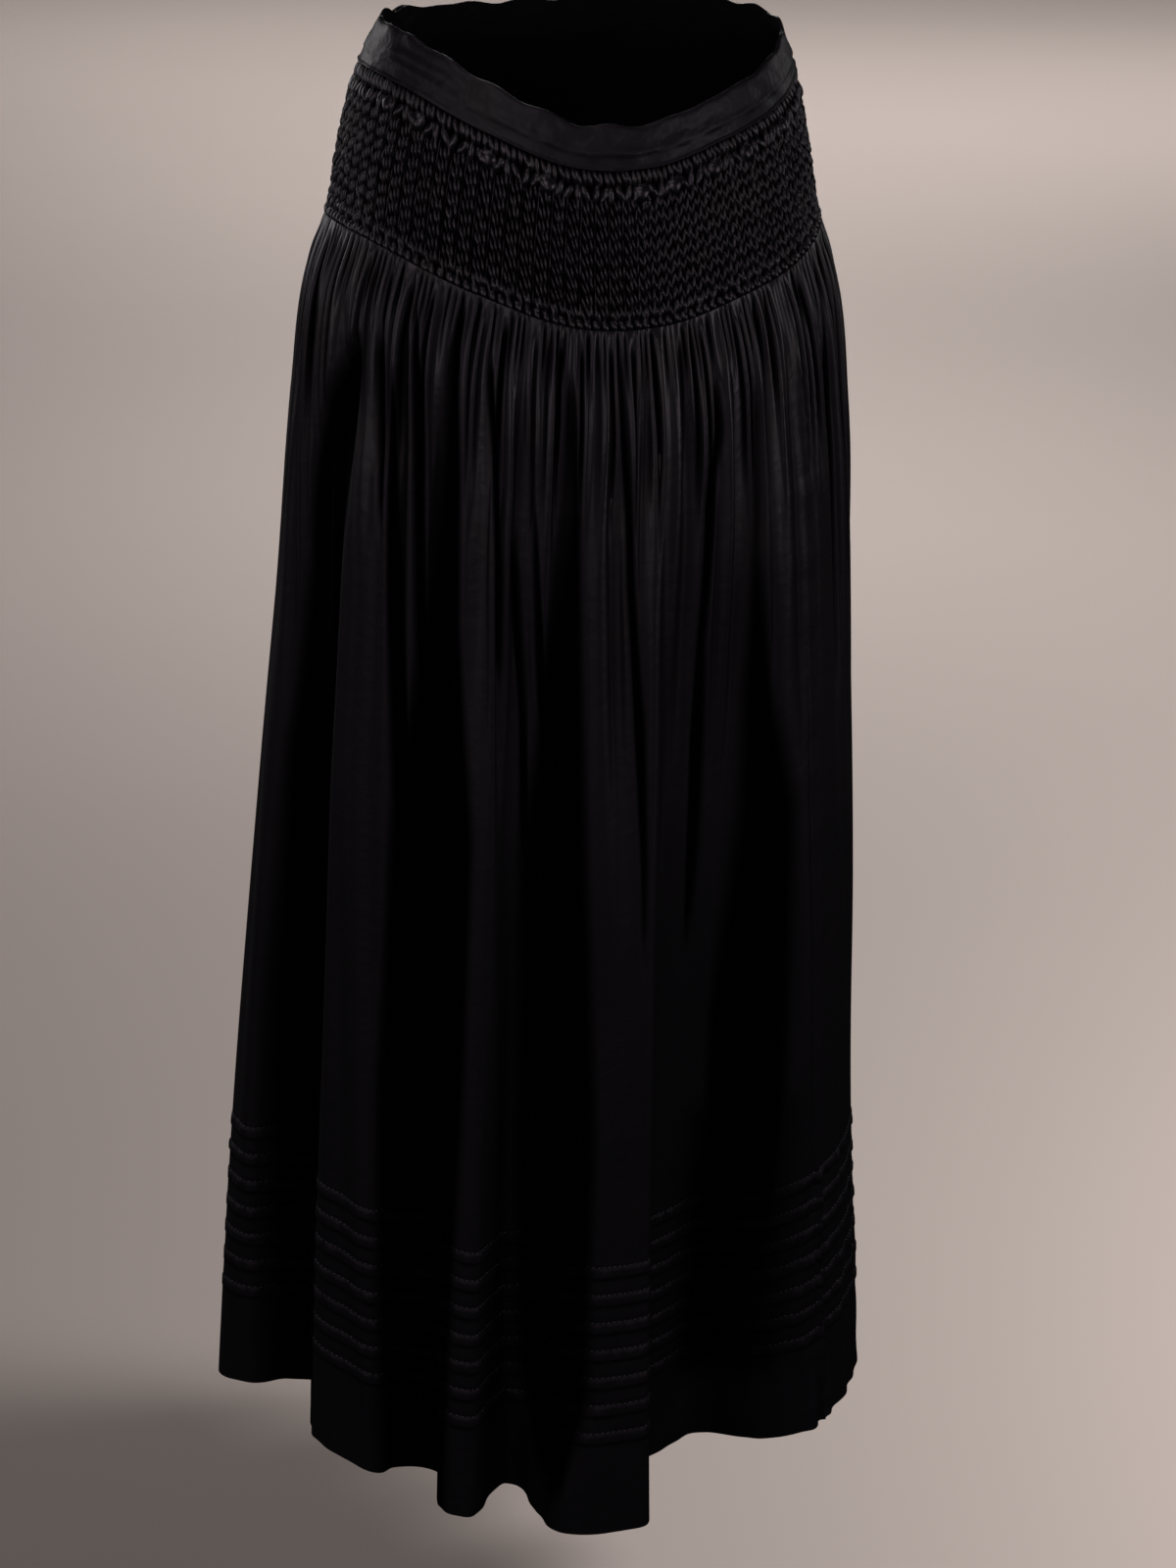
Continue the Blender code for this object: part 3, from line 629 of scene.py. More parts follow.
# The band is one strip that laps over its own start beside the hidden seam. Its face
# swells a little between rolled edges, carries the creases as long bells, and is drawn in
# along the edge stitching; its top edge waves gently.
def makeWaistband():
    depth = garment["bandDepth"]
    start = seamAngles(0.0)[0]
    angles = start + np.linspace(0.0, 360.0 + waistband["lapDegrees"], waistband["columns"])
    lift = ease((angles - start - 360.0 + waistband["runUpDegrees"]) / waistband["runUpDegrees"])
    lift = lift * (waistband["wall"] + waistband["swell"] + waistband["lapGap"])
    shares = np.array(waistband["shares"])
    turn = (angles / 360.0) % 1.0
    face = waistband["swell"] * np.interp(shares, bandFace[:, 0], bandFace[:, 1])
    dapples = waistband["dapple"] * dapple(turn, shares[:, None], 8, 44, 0.5, 1.6, 31)
    out = face[:, None] + lift + dapples
    for first, last, high, low, halfWidth, rise in bandCreases:
        along = (nearest(angles, 0.5 * (first + last)) - first) / (last - first)
        swell = ease(along / waistband["creaseSwell"]) * ease((1.0 - along) / waistband["creaseSwell"])
        off = (shares[:, None] - (high + (low - high) * along)) * depth
        out = out + rise * swell * np.exp(-((off / halfWidth) ** 2))
    wave = waistband["edgeWave"] * ripple(turn, 7, 24, 7) * (1.0 - shares[:, None]) ** 2
    outer = layCloth(angles[None, :], (shares * depth)[:, None], out)
    outer[..., 2] += wave
    picks = slice(None, None, (waistband["columns"] - 1) // (waistband["innerColumns"] - 1))
    innerDrops = depth * np.array([0.0, 1.0])[:, None]
    inner = layCloth(angles[None, picks], innerDrops, lift[None, picks] - waistband["wall"])
    inner[..., 2] += wave[[0, -1]][:, picks]
    outerUv = clothUv(np.radians(angles)[None, :] * waistband["meanRadius"], (shares * depth)[:, None])
    innerUv = outerUv[[0, -1]][:, picks]
    return makeShell("waistband_cloth", outer, inner, outerUv, innerUv, 0.0, 0.0, bandSatin)


smocking = {
    "columns": 1121,
    "rows": 81,
    "innerColumns": 225,
    "innerRows": 21,
    "wall": 2.6 * mm,
    "tuckedIn": 1.5 * mm,      # how far it goes up inside the band
    "ground": -2.3 * mm,       # the bottom of the pleats, under the puffs
    "gap": (0.5 * mm, 1.9 * mm),  # heights over it where the painted shade of the gaps begins to end and has ended
    "bodyRows": {"count": 352, "top": 25.6 * mm, "pitch": 8.5 * mm, "rows": 9, "halfLength": 4.6 * mm,
                 "halfWidth": 1.1 * mm, "height": 3.0 * mm, "fan": (18.0, 13.0, 9.0, 0.0), "zigzag": 15.0,
                 "stagger": 0.16, "slantSpread": 7.0, "placeSpread": 0.24, "dropSpread": 1.3 * mm,
                 "least": 0.55, "more": 0.55, "uprightLower": 0.35, "uprightThinner": 0.55,
                 "uprightLonger": 0.3},
    "pleat": 0.5 * mm,         # height of the fine pleats between the puffs
    # angles of the large puffs
    "bigPuffs": (-128, -104, -75.5, -63.8, -43, -27.5, -3.8, 5, 17, 28, 46, 71, 84, 103, 121, 133, 158,
                 171, 190, 209),
    "bigPuff": {"middle": 15.6 * mm, "halfLength": 6.0 * mm, "halfWidth": 5.0 * mm, "height": 4.2 * mm,
                "taper": 0.45},
}

# How uneven the puffs of a single row are: the spread of their slants, places and drops, and the
# least share of their height with what may come on top of it
leafUneven = {"slantSpread": 10.0, "placeSpread": 0.3, "dropSpread": 1.2 * mm, "least": 0.62, "more": 0.48}
beadUneven = {"slantSpread": 0.0, "placeSpread": 0.2, "dropSpread": 0.8 * mm, "least": 0.75, "more": 0.35}

# Single rows: short leaning leaves, diamonds, and two rows of beads that hold the gathers
singleRows = [
    {"count": 208, "middle": 5.0 * mm, "halfLength": 5.4 * mm, "halfWidth": 1.9 * mm, "height": 2.9 * mm,
     "slants": (14.0, 24.0, 10.0), "draw": 208, **leafUneven},
    {"count": 140, "middle": 15.4 * mm, "halfLength": 6.2 * mm, "halfWidth": 2.5 * mm, "height": 3.3 * mm,
     "slants": (-28.0, 8.0, 34.0, -10.0), "draw": 140, **leafUneven},
    {"count": 160, "middle": 92.2 * mm, "halfLength": 2.8 * mm, "halfWidth": 2.5 * mm, "height": 2.0 * mm,
     "slants": (26.0,), "draw": 2.8 * mm, **beadUneven},
    {"count": 160, "middle": 99.4 * mm, "halfLength": 3.9 * mm, "halfWidth": 2.5 * mm, "height": 3.6 * mm,
     "slants": (26.0,), "draw": 3.9 * mm, **beadUneven},
]


# Height of a leaf-shaped puff: half an ellipsoid whose long axis leans by slant degrees
def puff(across, down, halfWidth, halfLength, slant, rise):
    lean = np.radians(slant)
    length = (across * np.sin(lean) + down * np.cos(lean)) / halfLength
    width = (across * np.cos(lean) - down * np.sin(lean)) / halfWidth
    return rise * np.sqrt(np.clip(1.0 - length ** 2 - width ** 2, 0.0, 1.0))


# Share of zigzag stitches against fanned ones: two patches of each round the skirt
def zigzagShare(angle):
    return ease(0.5 + 1.6 * np.sin(np.radians(2.0 * angle + 10.0)))


# Height of a single row: its highest puff at a point, from the nearest one and its two neighbours
def rowRelief(rule, turn, down, pitchOf):
    pitch = pitchOf / rule["count"]
    relief = 0.0
    for step in (-1, 0, 1):
        leaf = np.floor(turn * rule["count"]) + step
        odd = scatter(leaf, rule["draw"])
        slants = np.array(rule["slants"])
        slant = slants[(leaf % len(slants)).astype(int)] + rule["slantSpread"] * (odd - 0.5)
        across = (turn * rule["count"] - leaf - 0.5 - rule["placeSpread"] * (odd - 0.5)) * pitch
        off = down - rule["middle"] - rule["dropSpread"] * (scatter(rule["draw"], leaf) - 0.5)
        rise = rule["height"] * (rule["least"] + rule["more"] * odd)
        relief = np.maximum(relief, puff(across, off, rule["halfWidth"], rule["halfLength"], slant, rise))
    return relief


# Height of the main rows, where a stitch is four leaves: three that fan out and a thin upright
# one, or all of them leaning to and fro like a zigzag
def leafRelief(turn, down, pitchOf, angle):
    rule = smocking["bodyRows"]
    pitch = pitchOf / rule["count"]
    row = (down - rule["top"]) / rule["pitch"]
    zigzag = zigzagShare(angle)
    relief = 0.0
    for step in (-1, 0, 1):
        leaf = np.floor(turn * rule["count"]) + step
        fan = np.array(rule["fan"])[(leaf % 4).astype(int)]
        upright = (leaf % 4 == 3) * (1.0 - zigzag)
        sway = rule["zigzag"] * (1.0 - 2.0 * (leaf % 2))
        halfWidth = rule["halfWidth"] * (1.0 - rule["uprightThinner"] * upright)
        halfLength = rule["halfLength"] * (1.0 + rule["uprightLonger"] * upright)
        for up in (0, 1, 2):
            line = np.floor(row) + up
            odd = scatter(leaf, line)
            slant = fan + (sway - fan) * zigzag + rule["slantSpread"] * (odd - 0.5) * (1.0 - upright)
            across = (turn * rule["count"] - leaf - 0.5 - rule["placeSpread"] * (odd - 0.5)) * pitch
            off = (row - line + rule["stagger"] * (leaf % 4)) * rule["pitch"]
            off = off - rule["dropSpread"] * (scatter(line, leaf) - 0.5)
            there = (line >= 0) & (line < rule["rows"])
            rise = rule["height"] * (rule["least"] + rule["more"] * odd)
            rise = rise * (1.0 - rule["uprightLower"] * upright)
            relief = np.maximum(relief, there * puff(across, off, halfWidth, halfLength, slant, rise))
    return relief


# Relief of the smocking: the highest of the puffs that reach a point, over fine pleats. Large
# flat puffs lie over the diamonds, each narrower at its foot.
def smockedRelief(turn, down, pitchOf, angle):
    pleats = np.abs(np.cos(np.pi * smocking["bodyRows"]["count"] * turn)) ** 0.7
    relief = np.maximum(smocking["pleat"] * pleats, leafRelief(turn, down, pitchOf, angle))
    for rule in singleRows:
        relief = np.maximum(relief, rowRelief(rule, turn, down, pitchOf))
    big = smocking["bigPuff"]
    for middle in smocking["bigPuffs"]:
        across = np.radians(nearest(angle, middle) - middle) * pitchOf / (2.0 * np.pi)
        off = down - big["middle"]
        taper = 1.0 - big["taper"] * np.clip(off / big["halfLength"], -1.0, 1.0)
        raised = puff(across / taper, off, big["halfWidth"], big["halfLength"], 0.0, big["height"])
        relief = np.maximum(relief, raised)
    return smocking["ground"] + relief


# The smocked part of a width: its relief on the ring's form, from just inside the band down to the gathers,
# with a plain wall inside. Its painted shade, black in the gaps, falls off with the height over the ground.
def makeSmockedTop(panel):
    top = garment["bandDepth"] - smocking["tuckedIn"]
    bottom = garment["bandDepth"] + garment["smockingDepth"]
    drops = np.linspace(top, bottom, smocking["rows"])
    angles, along = spreadColumns(panel, drops, smocking["columns"])
    turn = turnOf(panel, smocking["columns"])[None, :]
    pitchOf = 2.0 * along[:, -1:]
    relief = smockedRelief(turn, (drops - garment["bandDepth"])[:, None], pitchOf, angles)
    outer = layCloth(angles, drops[:, None], relief)
    innerDrops = np.linspace(top, bottom, smocking["innerRows"])
    innerAngles, innerAlong = spreadColumns(panel, innerDrops, smocking["innerColumns"])
    inner = layCloth(innerAngles, innerDrops[:, None], -smocking["wall"])
    outerUv = clothUv(along, drops[:, None])
    innerUv = clothUv(innerAlong, innerDrops[:, None])
    begins, ends = smocking["gap"]
    # Painted shade in the gaps between the puffs
    paintedShade = 1.0 - ease((relief - smocking["ground"] - begins) / (ends - begins))
    name = "smocked_top_" + panel + "_cloth"
    return makeShell(name, outer, inner, outerUv, innerUv, paintedShade, 0.0, smockedSatin)


body = {
    "columns": 641,
    "rows": 81,
    "innerColumns": 161,
    "innerRows": 21,
    "rowEase": 1.6,            # rows crowd together at the gathers
    "wall": 1.2 * mm,
    "fineReach": 0.12,         # how far down the inside keeps clear of the finest gathers
}

# Gathers merge as they run down: fine ones first, then ones that are ever wider
gatherTable = [
    # number round, height, drops where it starts, is full, begins to fade and has gone, sharpness, share of
    # painted shade in its grooves
    (184, 2.6 * mm, 0.128, 0.137, 0.146, 0.185, 0.8, 1.0),
    (116, 4.4 * mm, 0.133, 0.152, 0.200, 0.300, 0.9, 1.0),
    (58, 4.6 * mm, 0.140, 0.230, 0.320, 0.520, 1.4, 0.3),
]
gatherRule = {
    "drift": 0.30,             # how far a crest strays, in crests
    "mean": 0.70,              # share of the height that crests have on the whole, and how uneven it is
    "uneven": 0.60,
    "level": 0.8,              # share of a crest that lies inside the ring
    # Where the grooves' painted shade begins, as a share of the crest, and how far it reaches
    "grooveFrom": 0.76,
    "grooveReach": 0.4,
}


# Waves set out of the ring: each set is a rounded crest with a narrow groove, its crests shifted and its
# height changed by uneven waves round the skirt. With the share of painted shade in the grooves.
def gatherRelief(turn, drop, sets):
    relief, grooves = 0.0, 0.0
    for count, rise, start, full, fade, gone, sharpness, share in sets:
        place = turn * count + gatherRule["drift"] * ripple(turn, count // 8, count // 3, 100 + count)
        uneven = gatherRule["mean"] + gatherRule["uneven"] * ripple(turn, count // 6, count // 2, 200 + count)
        uneven = np.clip(uneven, 0.15, 1.5)
        strength = ease((drop - start) / (full - start)) * (1.0 - ease((drop - fade) / (gone - fade)))
        crest = np.abs(np.cos(np.pi * place))
        relief = relief + rise * strength * uneven * (crest ** sharpness - gatherRule["level"])
        groove = ease((gatherRule["grooveFrom"] - crest) / gatherRule["grooveReach"])
        groove = share * strength * np.clip(1.2 * uneven, 0.0, 1.0) * groove
        grooves = np.maximum(grooves, groove)
    return relief, grooves


dentRule = {"start": 0.30, "reach": 0.35, "height": 0.9 * mm}


# Long shallow hollows in the faces of the folds, which start below the gathers
def lowDents(turn, drop):
    grows = ease((drop - dentRule["start"]) / dentRule["reach"])
    return grows * dentRule["height"] * dapple(turn, drop, 14, 60, 0.25, 0.8, 57)


seam = {
    "start": 0.150,
    "swell": 0.08,
    "height": 2.4 * mm,
    "halfWidth": 1.4 * mm,
    "groove": 0.7 * mm,
    "grooveAt": 3.2,           # place and half width of the grooves, in half widths of the ridge
    "grooveWidth": 1.4,
    "puckerPitch": 17.0 * mm,
    "pucker": 0.7 * mm,
    "puckerReach": 12.0 * mm,
}


# The seam is a ridge between two shallow grooves, all of them bells across it, a little
# puckered along its length
def seamRelief(along, total, drop):
    near = np.minimum(along, total - along)
    wave = np.sin(2.0 * np.pi * drop / seam["puckerPitch"] + 9.0 * np.sin(drop * 31.0))
    pucker = seam["pucker"] * wave * np.exp(-near / seam["puckerReach"])
    ridge = seam["height"] * np.exp(-((near / seam["halfWidth"]) ** 2))
    off = (near / seam["halfWidth"] - seam["grooveAt"]) / seam["grooveWidth"]
    grooves = seam["groove"] * np.exp(-(off ** 2))
    return ease((drop - seam["start"]) / seam["swell"]) * (ridge - grooves + pucker)


# The gathered part of a width: gathers, dents, hollows and seams added up, with an inside that follows all
# but the finest gathers and lies deeper where a hollow is. Painted shade lies in the hollows and in the
# gathers' grooves.
def makeBody(panel):
    top = garment["bandDepth"] + garment["smockingDepth"]
    share = np.linspace(0.0, 1.0, body["rows"])
    drops = top + (garment["bodyEnd"] - top) * share ** body["rowEase"]
    angles, along = spreadColumns(panel, drops, body["columns"])
    turn = turnOf(panel, body["columns"])[None, :]
    down = drops[:, None]
    depth, shade = hollows(angles, down)
    relief, grooves = gatherRelief(turn, down, gatherTable)
    coarse = lowDents(turn, down) - depth
    outer = layCloth(angles, down, relief + coarse + seamRelief(along, along[:, -1:], down))
    rowStep = (body["rows"] - 1) // (body["innerRows"] - 1)
    columnStep = (body["columns"] - 1) // (body["innerColumns"] - 1)
    picks = np.ix_(range(0, body["rows"], rowStep), range(0, body["columns"], columnStep))
    inside = gatherRelief(turn, down, gatherTable[1:])[0] + coarse
    fine = gatherTable[0][1] * (1.0 - ease((down - top) / body["fineReach"]))
    inside = inside - fine - body["wall"] - hollowRule["wall"] * shade
    inner = layCloth(angles[picks], np.broadcast_to(down, angles.shape)[picks], inside[picks])
    uv = clothUv(along, down)
    # Painted shade: black in the hollows and in the gathers' grooves
    paintedShade = np.maximum(shade, grooves)
    name = "skirt_" + panel + "_body"
    return makeShell(name, outer, inner, uv, uv[picks], paintedShade, shade[picks], bodySatin)


tucks = {
    "columns": 881,
    "innerColumns": 221,
    "count": 7,
    "pitch": 21.3 * mm,
    "wall": 1.2 * mm,
    "hemWall": 2.0 * mm,
    "turning": 0.9360,         # top of the hem's turning, inside
    "round": 2.76,             # length round the whole skirt there, cut
    "puckerPitch": 4.6 * mm,
    "pucker": 0.22 * mm,
    "puckerDrift": 2.2,        # how far the puckers stray, in puckers
    "smudge": 0.35,            # how uneven a tuck's face is, as a share of its height
    "fall": (0.75, 0.45),      # mean height of the free edge, and how uneven it is
    "fallShare": 0.6,
    "crinkle": 0.18 * mm,      # fine crinkles everywhere, and what the seam's pull adds beside it
    "seamCrinkle": 0.9 * mm,
    "seamReach": 45.0 * mm,
    "smallPull": (0.6, 110.0 * mm, 50.0 * mm),  # strength, place and half width of another pull
    "out": 0.86 * mm,          # how far a tuck's face stands out
    "catch": 0.12,             # share of a hollow's painted shade that a tuck's face loses, since it stands out
}

# Stitches lie on the hem's own grid, about 4 mm apart where real ones are 2.5 mm, so that they show
stitching = {
    "pitch": 4,                # columns from stitch to stitch
    "rise": 0.60 * mm,
    "sink": 0.10 * mm,
    "halfWidth": 0.36 * mm,
}

# One tuck from above its stitching down past its free edge
tuckProfile = [
    # step below the stitching, out, share of the puckers, share of the free edge's waviness
    (-1.6 * mm, 0.00 * mm, 0.2, 0.0),
    (-0.2 * mm, -0.35 * mm, 1.0, 0.0),
    (0.7 * mm, 0.45 * mm, 0.9, 0.1),
    (2.8 * mm, 0.80 * mm, 0.6, 0.4),
    (5.6 * mm, 0.86 * mm, 0.4, 0.9),
    (7.3 * mm, 0.84 * mm, 0.3, 1.0),
    (7.8 * mm, 0.66 * mm, 0.2, 1.0),
    (8.0 * mm, 0.10 * mm, 0.0, 0.1),
    (11.0 * mm, 0.00 * mm, 0.1, 0.0),
    (15.5 * mm, 0.00 * mm, 0.0, 0.0),
]
# Rows of the plain hem below the last tuck, as many as keep a whole ratio to the inner ones
hemDrops = (0.9400, 0.9450, 0.9520, 0.9590, 0.9660, 0.9730, 0.9800, 0.9880, 0.9950, 0.9985, 1.0000)


# Stitches along some rows of a grid: each is a spindle of six points, its two ends in the
# cloth and four points round its middle, which stands out along the cloth's normal
def makeStitches(panel, grid, shade, lines):
    starts = np.arange(0, grid.shape[1] - stitching["pitch"], stitching["pitch"])
    points, paintedShades = [], []
    for line in lines:
        first, middle, last = (grid[line, starts + step] for step in (0, 1, 2))
        across = last - first
        down = grid[line + 1, starts + 1] - grid[line - 1, starts + 1]
        normal = np.cross(down, across)
        normal = normal / np.linalg.norm(normal, axis=1, keepdims=True)
        down = down / np.linalg.norm(down, axis=1, keepdims=True)
        side = stitching["halfWidth"] * down
        points.append(np.stack([
            first - stitching["sink"] * normal, last - stitching["sink"] * normal,
            middle + stitching["rise"] * normal, middle + side,
            middle - stitching["sink"] * normal, middle - side,
        ], axis=1))
        # Each stitch takes the painted shade of the cloth beneath its middle
        paintedShades.append(np.repeat(shade[line, starts + 1], 6))
    points = np.concatenate(points).reshape(-1, 3)
    faces = np.array([[0, 3, 2], [0, 4, 3], [0, 5, 4], [0, 2, 5], [1, 2, 3], [1, 3, 4], [1, 4, 5], [1, 5, 2]])
    faces = (faces[None] + 6 * np.arange(len(points) // 6)[:, None, None]).reshape(-1, 3)
    return makeMesh("tuck_stitches_" + panel, points, [faces], thread, paintedShade=np.concatenate(paintedShades))


# The tucked part: each tuck's profile is carried round the skirt, its stitching puckered
# by short waves and its free edge made uneven by longer ones, more so beside the seam
def makeTuckedHem(panel):
    columns = tucks["columns"]
    turn = turnOf(panel, columns)[None, :]
    drops = [garment["bodyEnd"]]
    outs = [np.zeros((1, columns))]
    raised = [0.0]
    for i in range(tucks["count"]):
        stitched = garment["firstTuck"] + i * tucks["pitch"]
        strays = tucks["puckerDrift"] * ripple(turn, 30, 120, 300 + i)
        pucker = np.sin(2.0 * np.pi * (turn * tucks["round"] / tucks["puckerPitch"] + strays))
        fall = tucks["fall"][0] + tucks["fall"][1] * ripple(turn, 30, 150, 400 + i)
        smudge = 1.0 + tucks["smudge"] * ripple(turn, 90, 240, 500 + i)
        for step, out, puckered, loose in tuckProfile:
            drops.append(stitched + step)
            raised.append(max(out, 0.0) / tucks["out"])
            edge = out * (1.0 + loose * (fall - 1.0) * tucks["fallShare"])
            outs.append(edge * smudge + puckered * tucks["pucker"] * pucker)
    for drop in hemDrops:
        drops.append(drop)
        raised.append(0.0)
        outs.append(np.zeros((1, columns)))
    drops = np.array(drops)
    angles, along = spreadColumns(panel, drops, columns)
    down = drops[:, None]
    total = along[:, -1:]
    # Painted shade in the hollows, a little less on the tucks' faces that stand out
    depth, shade = hollows(angles, down)
    shade = shade * (1.0 - tucks["catch"] * np.array(raised)[:, None])
    out = np.concatenate(outs) + lowDents(turn, down) - depth + seamRelief(along, total, down)
    crinkle = dapple(turn, down, 50, 130, 0.07, 0.25, 71)
    beside = np.exp(-(total - along if panel == "front" else along) / tucks["seamReach"])
    if panel == "back":
        strength, middle, halfWidth = tucks["smallPull"]
        beside = beside + strength * np.exp(-(((along - middle) / halfWidth) ** 2))
    crinkled = (tucks["crinkle"] + tucks["seamCrinkle"] * beside) * crinkle
    out = out + crinkled * ease((down - garment["bodyEnd"]) / 0.01)
    outer = layCloth(angles, down, out)
    innerDrops = np.concatenate([
        np.linspace(garment["bodyEnd"], tucks["turning"] - 0.002, 7), [tucks["turning"]], [0.968, 1.0],
    ])
    wall = np.where(innerDrops < tucks["turning"] - 0.001, tucks["wall"], tucks["hemWall"])[:, None]
    picks = slice(None, None, (columns - 1) // (tucks["innerColumns"] - 1))
    innerAngles, innerAlong = spreadColumns(panel, innerDrops, tucks["innerColumns"])
    innerDown = innerDrops[:, None]
    innerDepth, innerShade = hollows(innerAngles, innerDown)
    innerOut = lowDents(turn[:, picks], innerDown) - innerDepth - wall - hollowRule["wall"] * innerShade
    inner = layCloth(innerAngles, innerDown, innerOut)
    outerUv = clothUv(along, down)
    innerUv = clothUv(innerAlong, innerDown)
    hem = makeShell("skirt_" + panel + "_hem", outer, inner, outerUv, innerUv, shade, innerShade, bodySatin)
    lines = [2 + i * len(tuckProfile) for i in range(tucks["count"])]
    return hem, makeStitches(panel, outer, shade, lines)


print("shapes ready")
pieces = {"waistband": [makeWaistband()]}
print("waistband made")
for panel in ("front", "back"):
    pieces["smocked_top_" + panel] = [makeSmockedTop(panel)]
    print("smocked top made:", panel)
    pieces["skirt_" + panel] = [makeBody(panel), *makeTuckedHem(panel)]
    print("gathered body, tucked hem and its stitches made:", panel)

# Each piece hangs from the root body, and the part of the model that it stands for is hidden.
# Sizes of what shows: the smocked parts as they are drawn up, the others as they are cut, without
# the cloth deep in the folds, in the tucks and turned up inside
for node, cloths in pieces.items():
    for piece in cloths:
        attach(piece, "root")
        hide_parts(node)

studio = {
    "floorHeight": -1.16,
    "floorSize": 60.0,
    "air": "#bdb0a9",          # what shows beyond the floor
    "airStrength": 0.8,
    "airOnCloth": 0.003,       # how much of it reaches the cloth
    "target": (0.0, 0.0, -0.35),
    "reach": 3.0,              # how far the soft boxes stand from the target
    "paper": ("#c5b6af", "#c9bab3"),
    "glow": (0.14, 0.70),      # the paper's painted glow, near and far off
    "glowFrom": (6.0, 20.0),   # distances of the two
}

# Soft boxes on the cloth alone
softBoxes = [
    # name, angle round, angle up, width, height, power
    ("leftBox", 42, 10, 1.1, 1.2, 7.6),
    ("frontBox", -24, 10, 1.1, 1.0, 3.9),
    ("rightBox", -64, 10, 1.1, 1.2, 5.8),
    ("upperBox", -20, 38, 0.9, 0.9, 5.0),
    ("topBox", -20, 76, 1.2, 1.2, 5.0),
    ("sideBox", 102, 12, 0.9, 1.2, 3.2),
    ("farSideBox", -118, 12, 0.9, 1.2, 4.0),
    ("backBox", 150, 12, 1.0, 1.2, 9.5),
    ("farBackBox", -160, 16, 1.0, 1.2, 9.5),
]

# Square lights on the paper floor alone, which leave the cloth dark
floorLights = [
    # name, place, size, power
    ("nearFloorLight", (2.0, -1.0, 0.44), 1.0, 87.0),
    ("middleFloorLight", (1.6, 2.6, 0.44), 1.6, 19.0),
    ("distantFloorLight", (2.4, 5.0, 0.44), 2.0, 18.0),
    ("farFloorLight", (4.2, 5.2, 0.44), 2.4, 28.0),
    ("backFloorLight", (2.6, 7.2, 0.44), 2.0, 15.0),
]


# Paper with a faint uneven tone and a painted glow that stands in for light on it, faint near and stronger
# far off, where it turns into the air. It is left out of the cloth's reflections, which keeps the valleys of
# the folds black.
def makeFloor():
    material, tree, shader = startMaterial("studioPaper")
    place = addNode(tree, "ShaderNodeTexCoord")
    mottle = addNode(tree, "ShaderNodeTexNoise", {
        "Vector": place.outputs["Object"], "Scale": 1.4, "Detail": 3.0,
    })
    mixed = addNode(tree, "ShaderNodeMix", {
        0: mottle.outputs["Fac"], 6: toLinear(studio["paper"][0]), 7: toLinear(studio["paper"][1]),
    }, data_type="RGBA")
    tree.links.new(mixed.outputs[2], shader.inputs["Base Color"])
    away = addNode(tree, "ShaderNodeVectorMath", {0: place.outputs["Object"]}, operation="LENGTH")
    glow = addNode(tree, "ShaderNodeMapRange", {
        "Value": away.outputs["Value"], "From Min": studio["glowFrom"][0], "From Max": studio["glowFrom"][1],
        "To Min": studio["glow"][0], "To Max": studio["glow"][1],
    })
    tree.links.new(mixed.outputs[2], shader.inputs["Emission Color"])
    tree.links.new(glow.outputs["Result"], shader.inputs["Emission Strength"])
    shader.inputs["Roughness"].default_value = 0.9
    half = 0.5 * studio["floorSize"]
    z = studio["floorHeight"]
    corners = [(-half, -half, z), (half, -half, z), (half, half, z), (-half, half, z)]
    floor = makeMesh("floor", corners, [np.array([[0, 1, 2, 3]])], material)
    floor.visible_diffuse = False
    floor.visible_glossy = False
    return floor


# A soft rectangle of light that faces a point
def makeLight(name, place, target, width, depth, power):
    lamp = bpy.data.lights.new(name, "AREA")
    lamp.shape = "RECTANGLE"
    lamp.size = width
    lamp.size_y = depth
    lamp.energy = power
    light = bpy.data.objects.new(name, lamp)
    light.location = place
    light.rotation_euler = (Vector(target) - Vector(place)).to_track_quat("-Z", "Y").to_euler()
    bpy.context.scene.collection.objects.link(light)
    return light


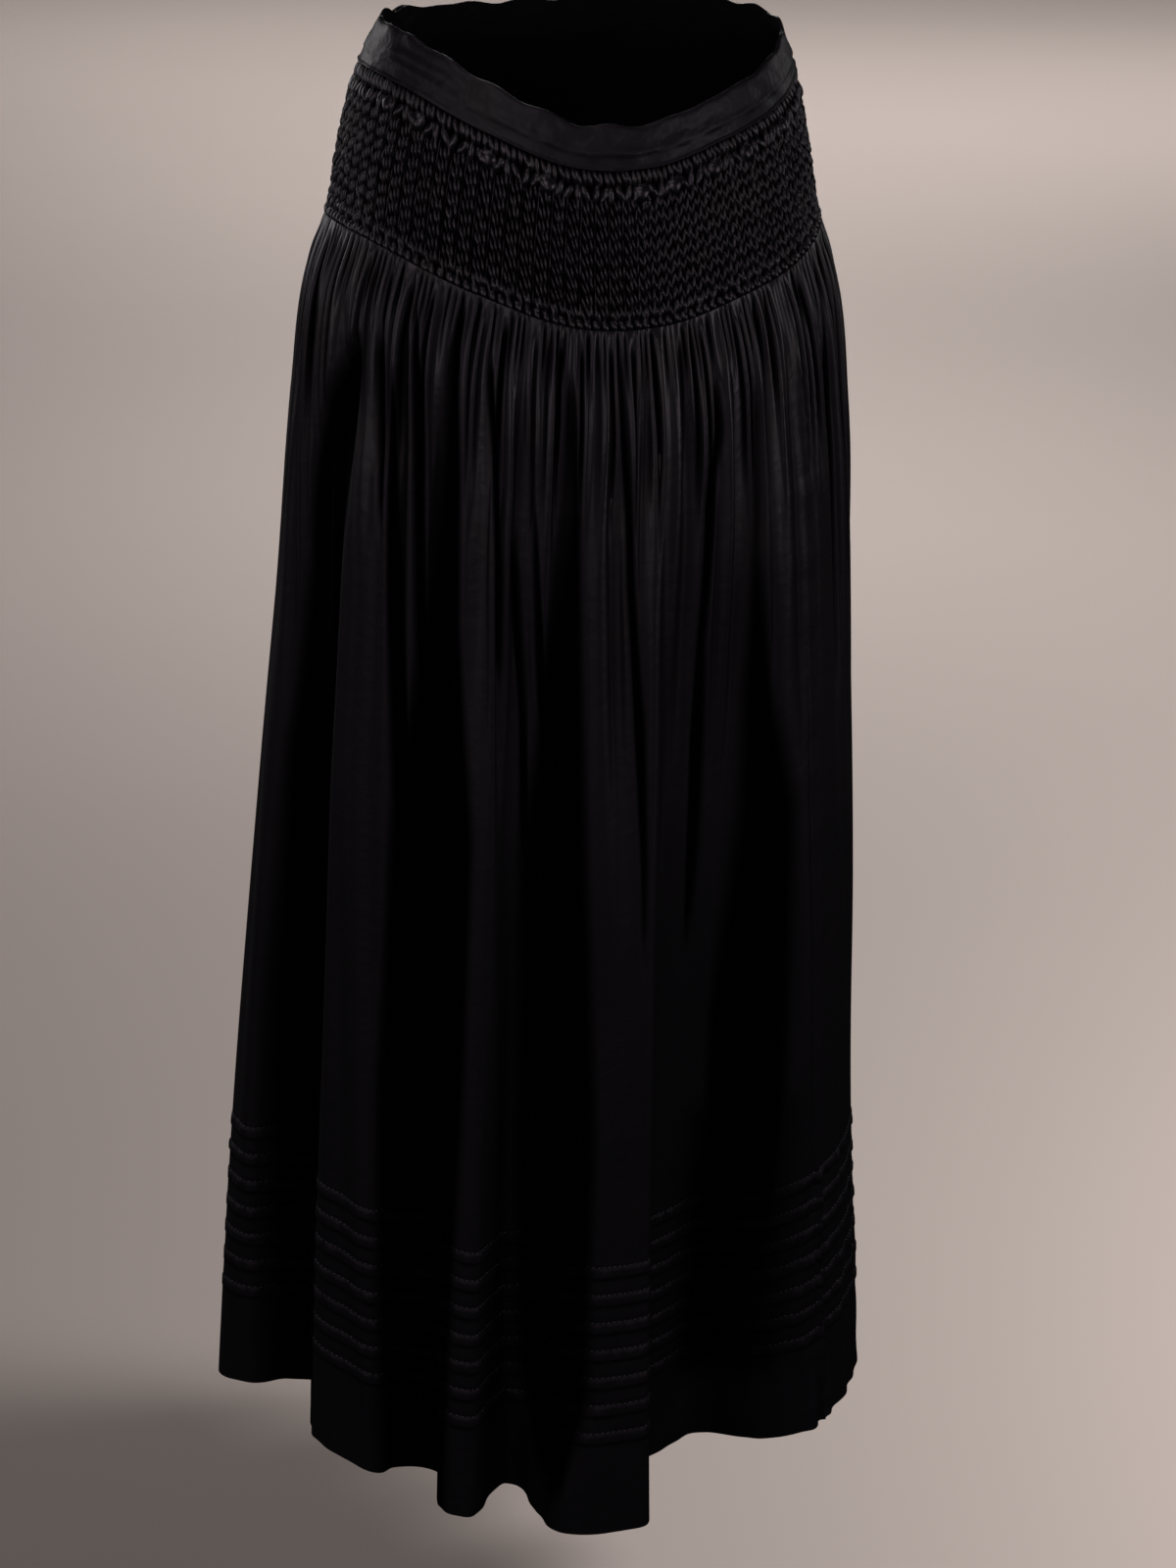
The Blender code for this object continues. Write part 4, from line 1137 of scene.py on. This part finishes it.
# A soft box's place: its reach from the target, round and up by its angles
def makeSoftBox(name, around, up, width, depth, power):
    turned, raised = np.radians(around), np.radians(up)
    ahead = Vector((np.sin(turned) * np.cos(raised), -np.cos(turned) * np.cos(raised), np.sin(raised)))
    place = Vector(studio["target"]) + studio["reach"] * ahead
    return makeLight(name, place, studio["target"], width, depth, power)


# Pale air where the camera sees past the floor, and a trace of it as light on the cloth
def makeAir():
    world = bpy.data.worlds.new("studioAir")
    world.use_nodes = True
    tree = world.node_tree
    faint = tree.nodes["Background"]
    faint.inputs["Color"].default_value = toLinear(studio["air"])
    faint.inputs["Strength"].default_value = studio["airOnCloth"]
    seen = addNode(tree, "ShaderNodeBackground", {
        "Color": toLinear(studio["air"]), "Strength": studio["airStrength"],
    })
    path = addNode(tree, "ShaderNodeLightPath")
    chosen = addNode(tree, "ShaderNodeMixShader", {
        0: path.outputs["Is Camera Ray"], 1: faint.outputs["Background"], 2: seen.outputs["Background"],
    })
    tree.links.new(chosen.outputs["Shader"], tree.nodes["World Output"].inputs["Surface"])
    bpy.context.scene.world = world


floorOnly = bpy.data.collections.new("floorOnly")
floorOnly.objects.link(makeFloor())
clothOnly = bpy.data.collections.new("clothOnly")
for cloths in pieces.values():
    for piece in cloths:
        clothOnly.objects.link(piece)
for box in softBoxes:
    makeSoftBox(*box).light_linking.receiver_collection = clothOnly
for name, place, size, power in floorLights:
    light = makeLight(name, place, (place[0], place[1], studio["floorHeight"]), size, size, power)
    light.light_linking.receiver_collection = floorOnly
makeAir()
bpy.context.scene.view_settings.view_transform = "Standard"

camera = {
    "azimuth": -27.117,        # degrees, heading of the view
    "place": (-1.1758, -2.3077, 0.397),
    "tilt": 19.6,              # degrees down
    "lens": 88.09,
}


# The camera looks along its azimuth, tilted down
def makeCamera():
    data = bpy.data.cameras.new("camera")
    data.lens = camera["lens"]
    data.sensor_width = 36.0
    eye = bpy.data.objects.new("camera", data)
    eye.location = camera["place"]
    turned = np.radians(camera["azimuth"])
    down = np.radians(camera["tilt"])
    ahead = Vector((-np.sin(turned) * np.cos(down), np.cos(turned) * np.cos(down), -np.sin(down)))
    eye.rotation_euler = ahead.to_track_quat("-Z", "Y").to_euler()
    bpy.context.scene.collection.objects.link(eye)
    bpy.context.scene.camera = eye


makeCamera()
print("studio made")
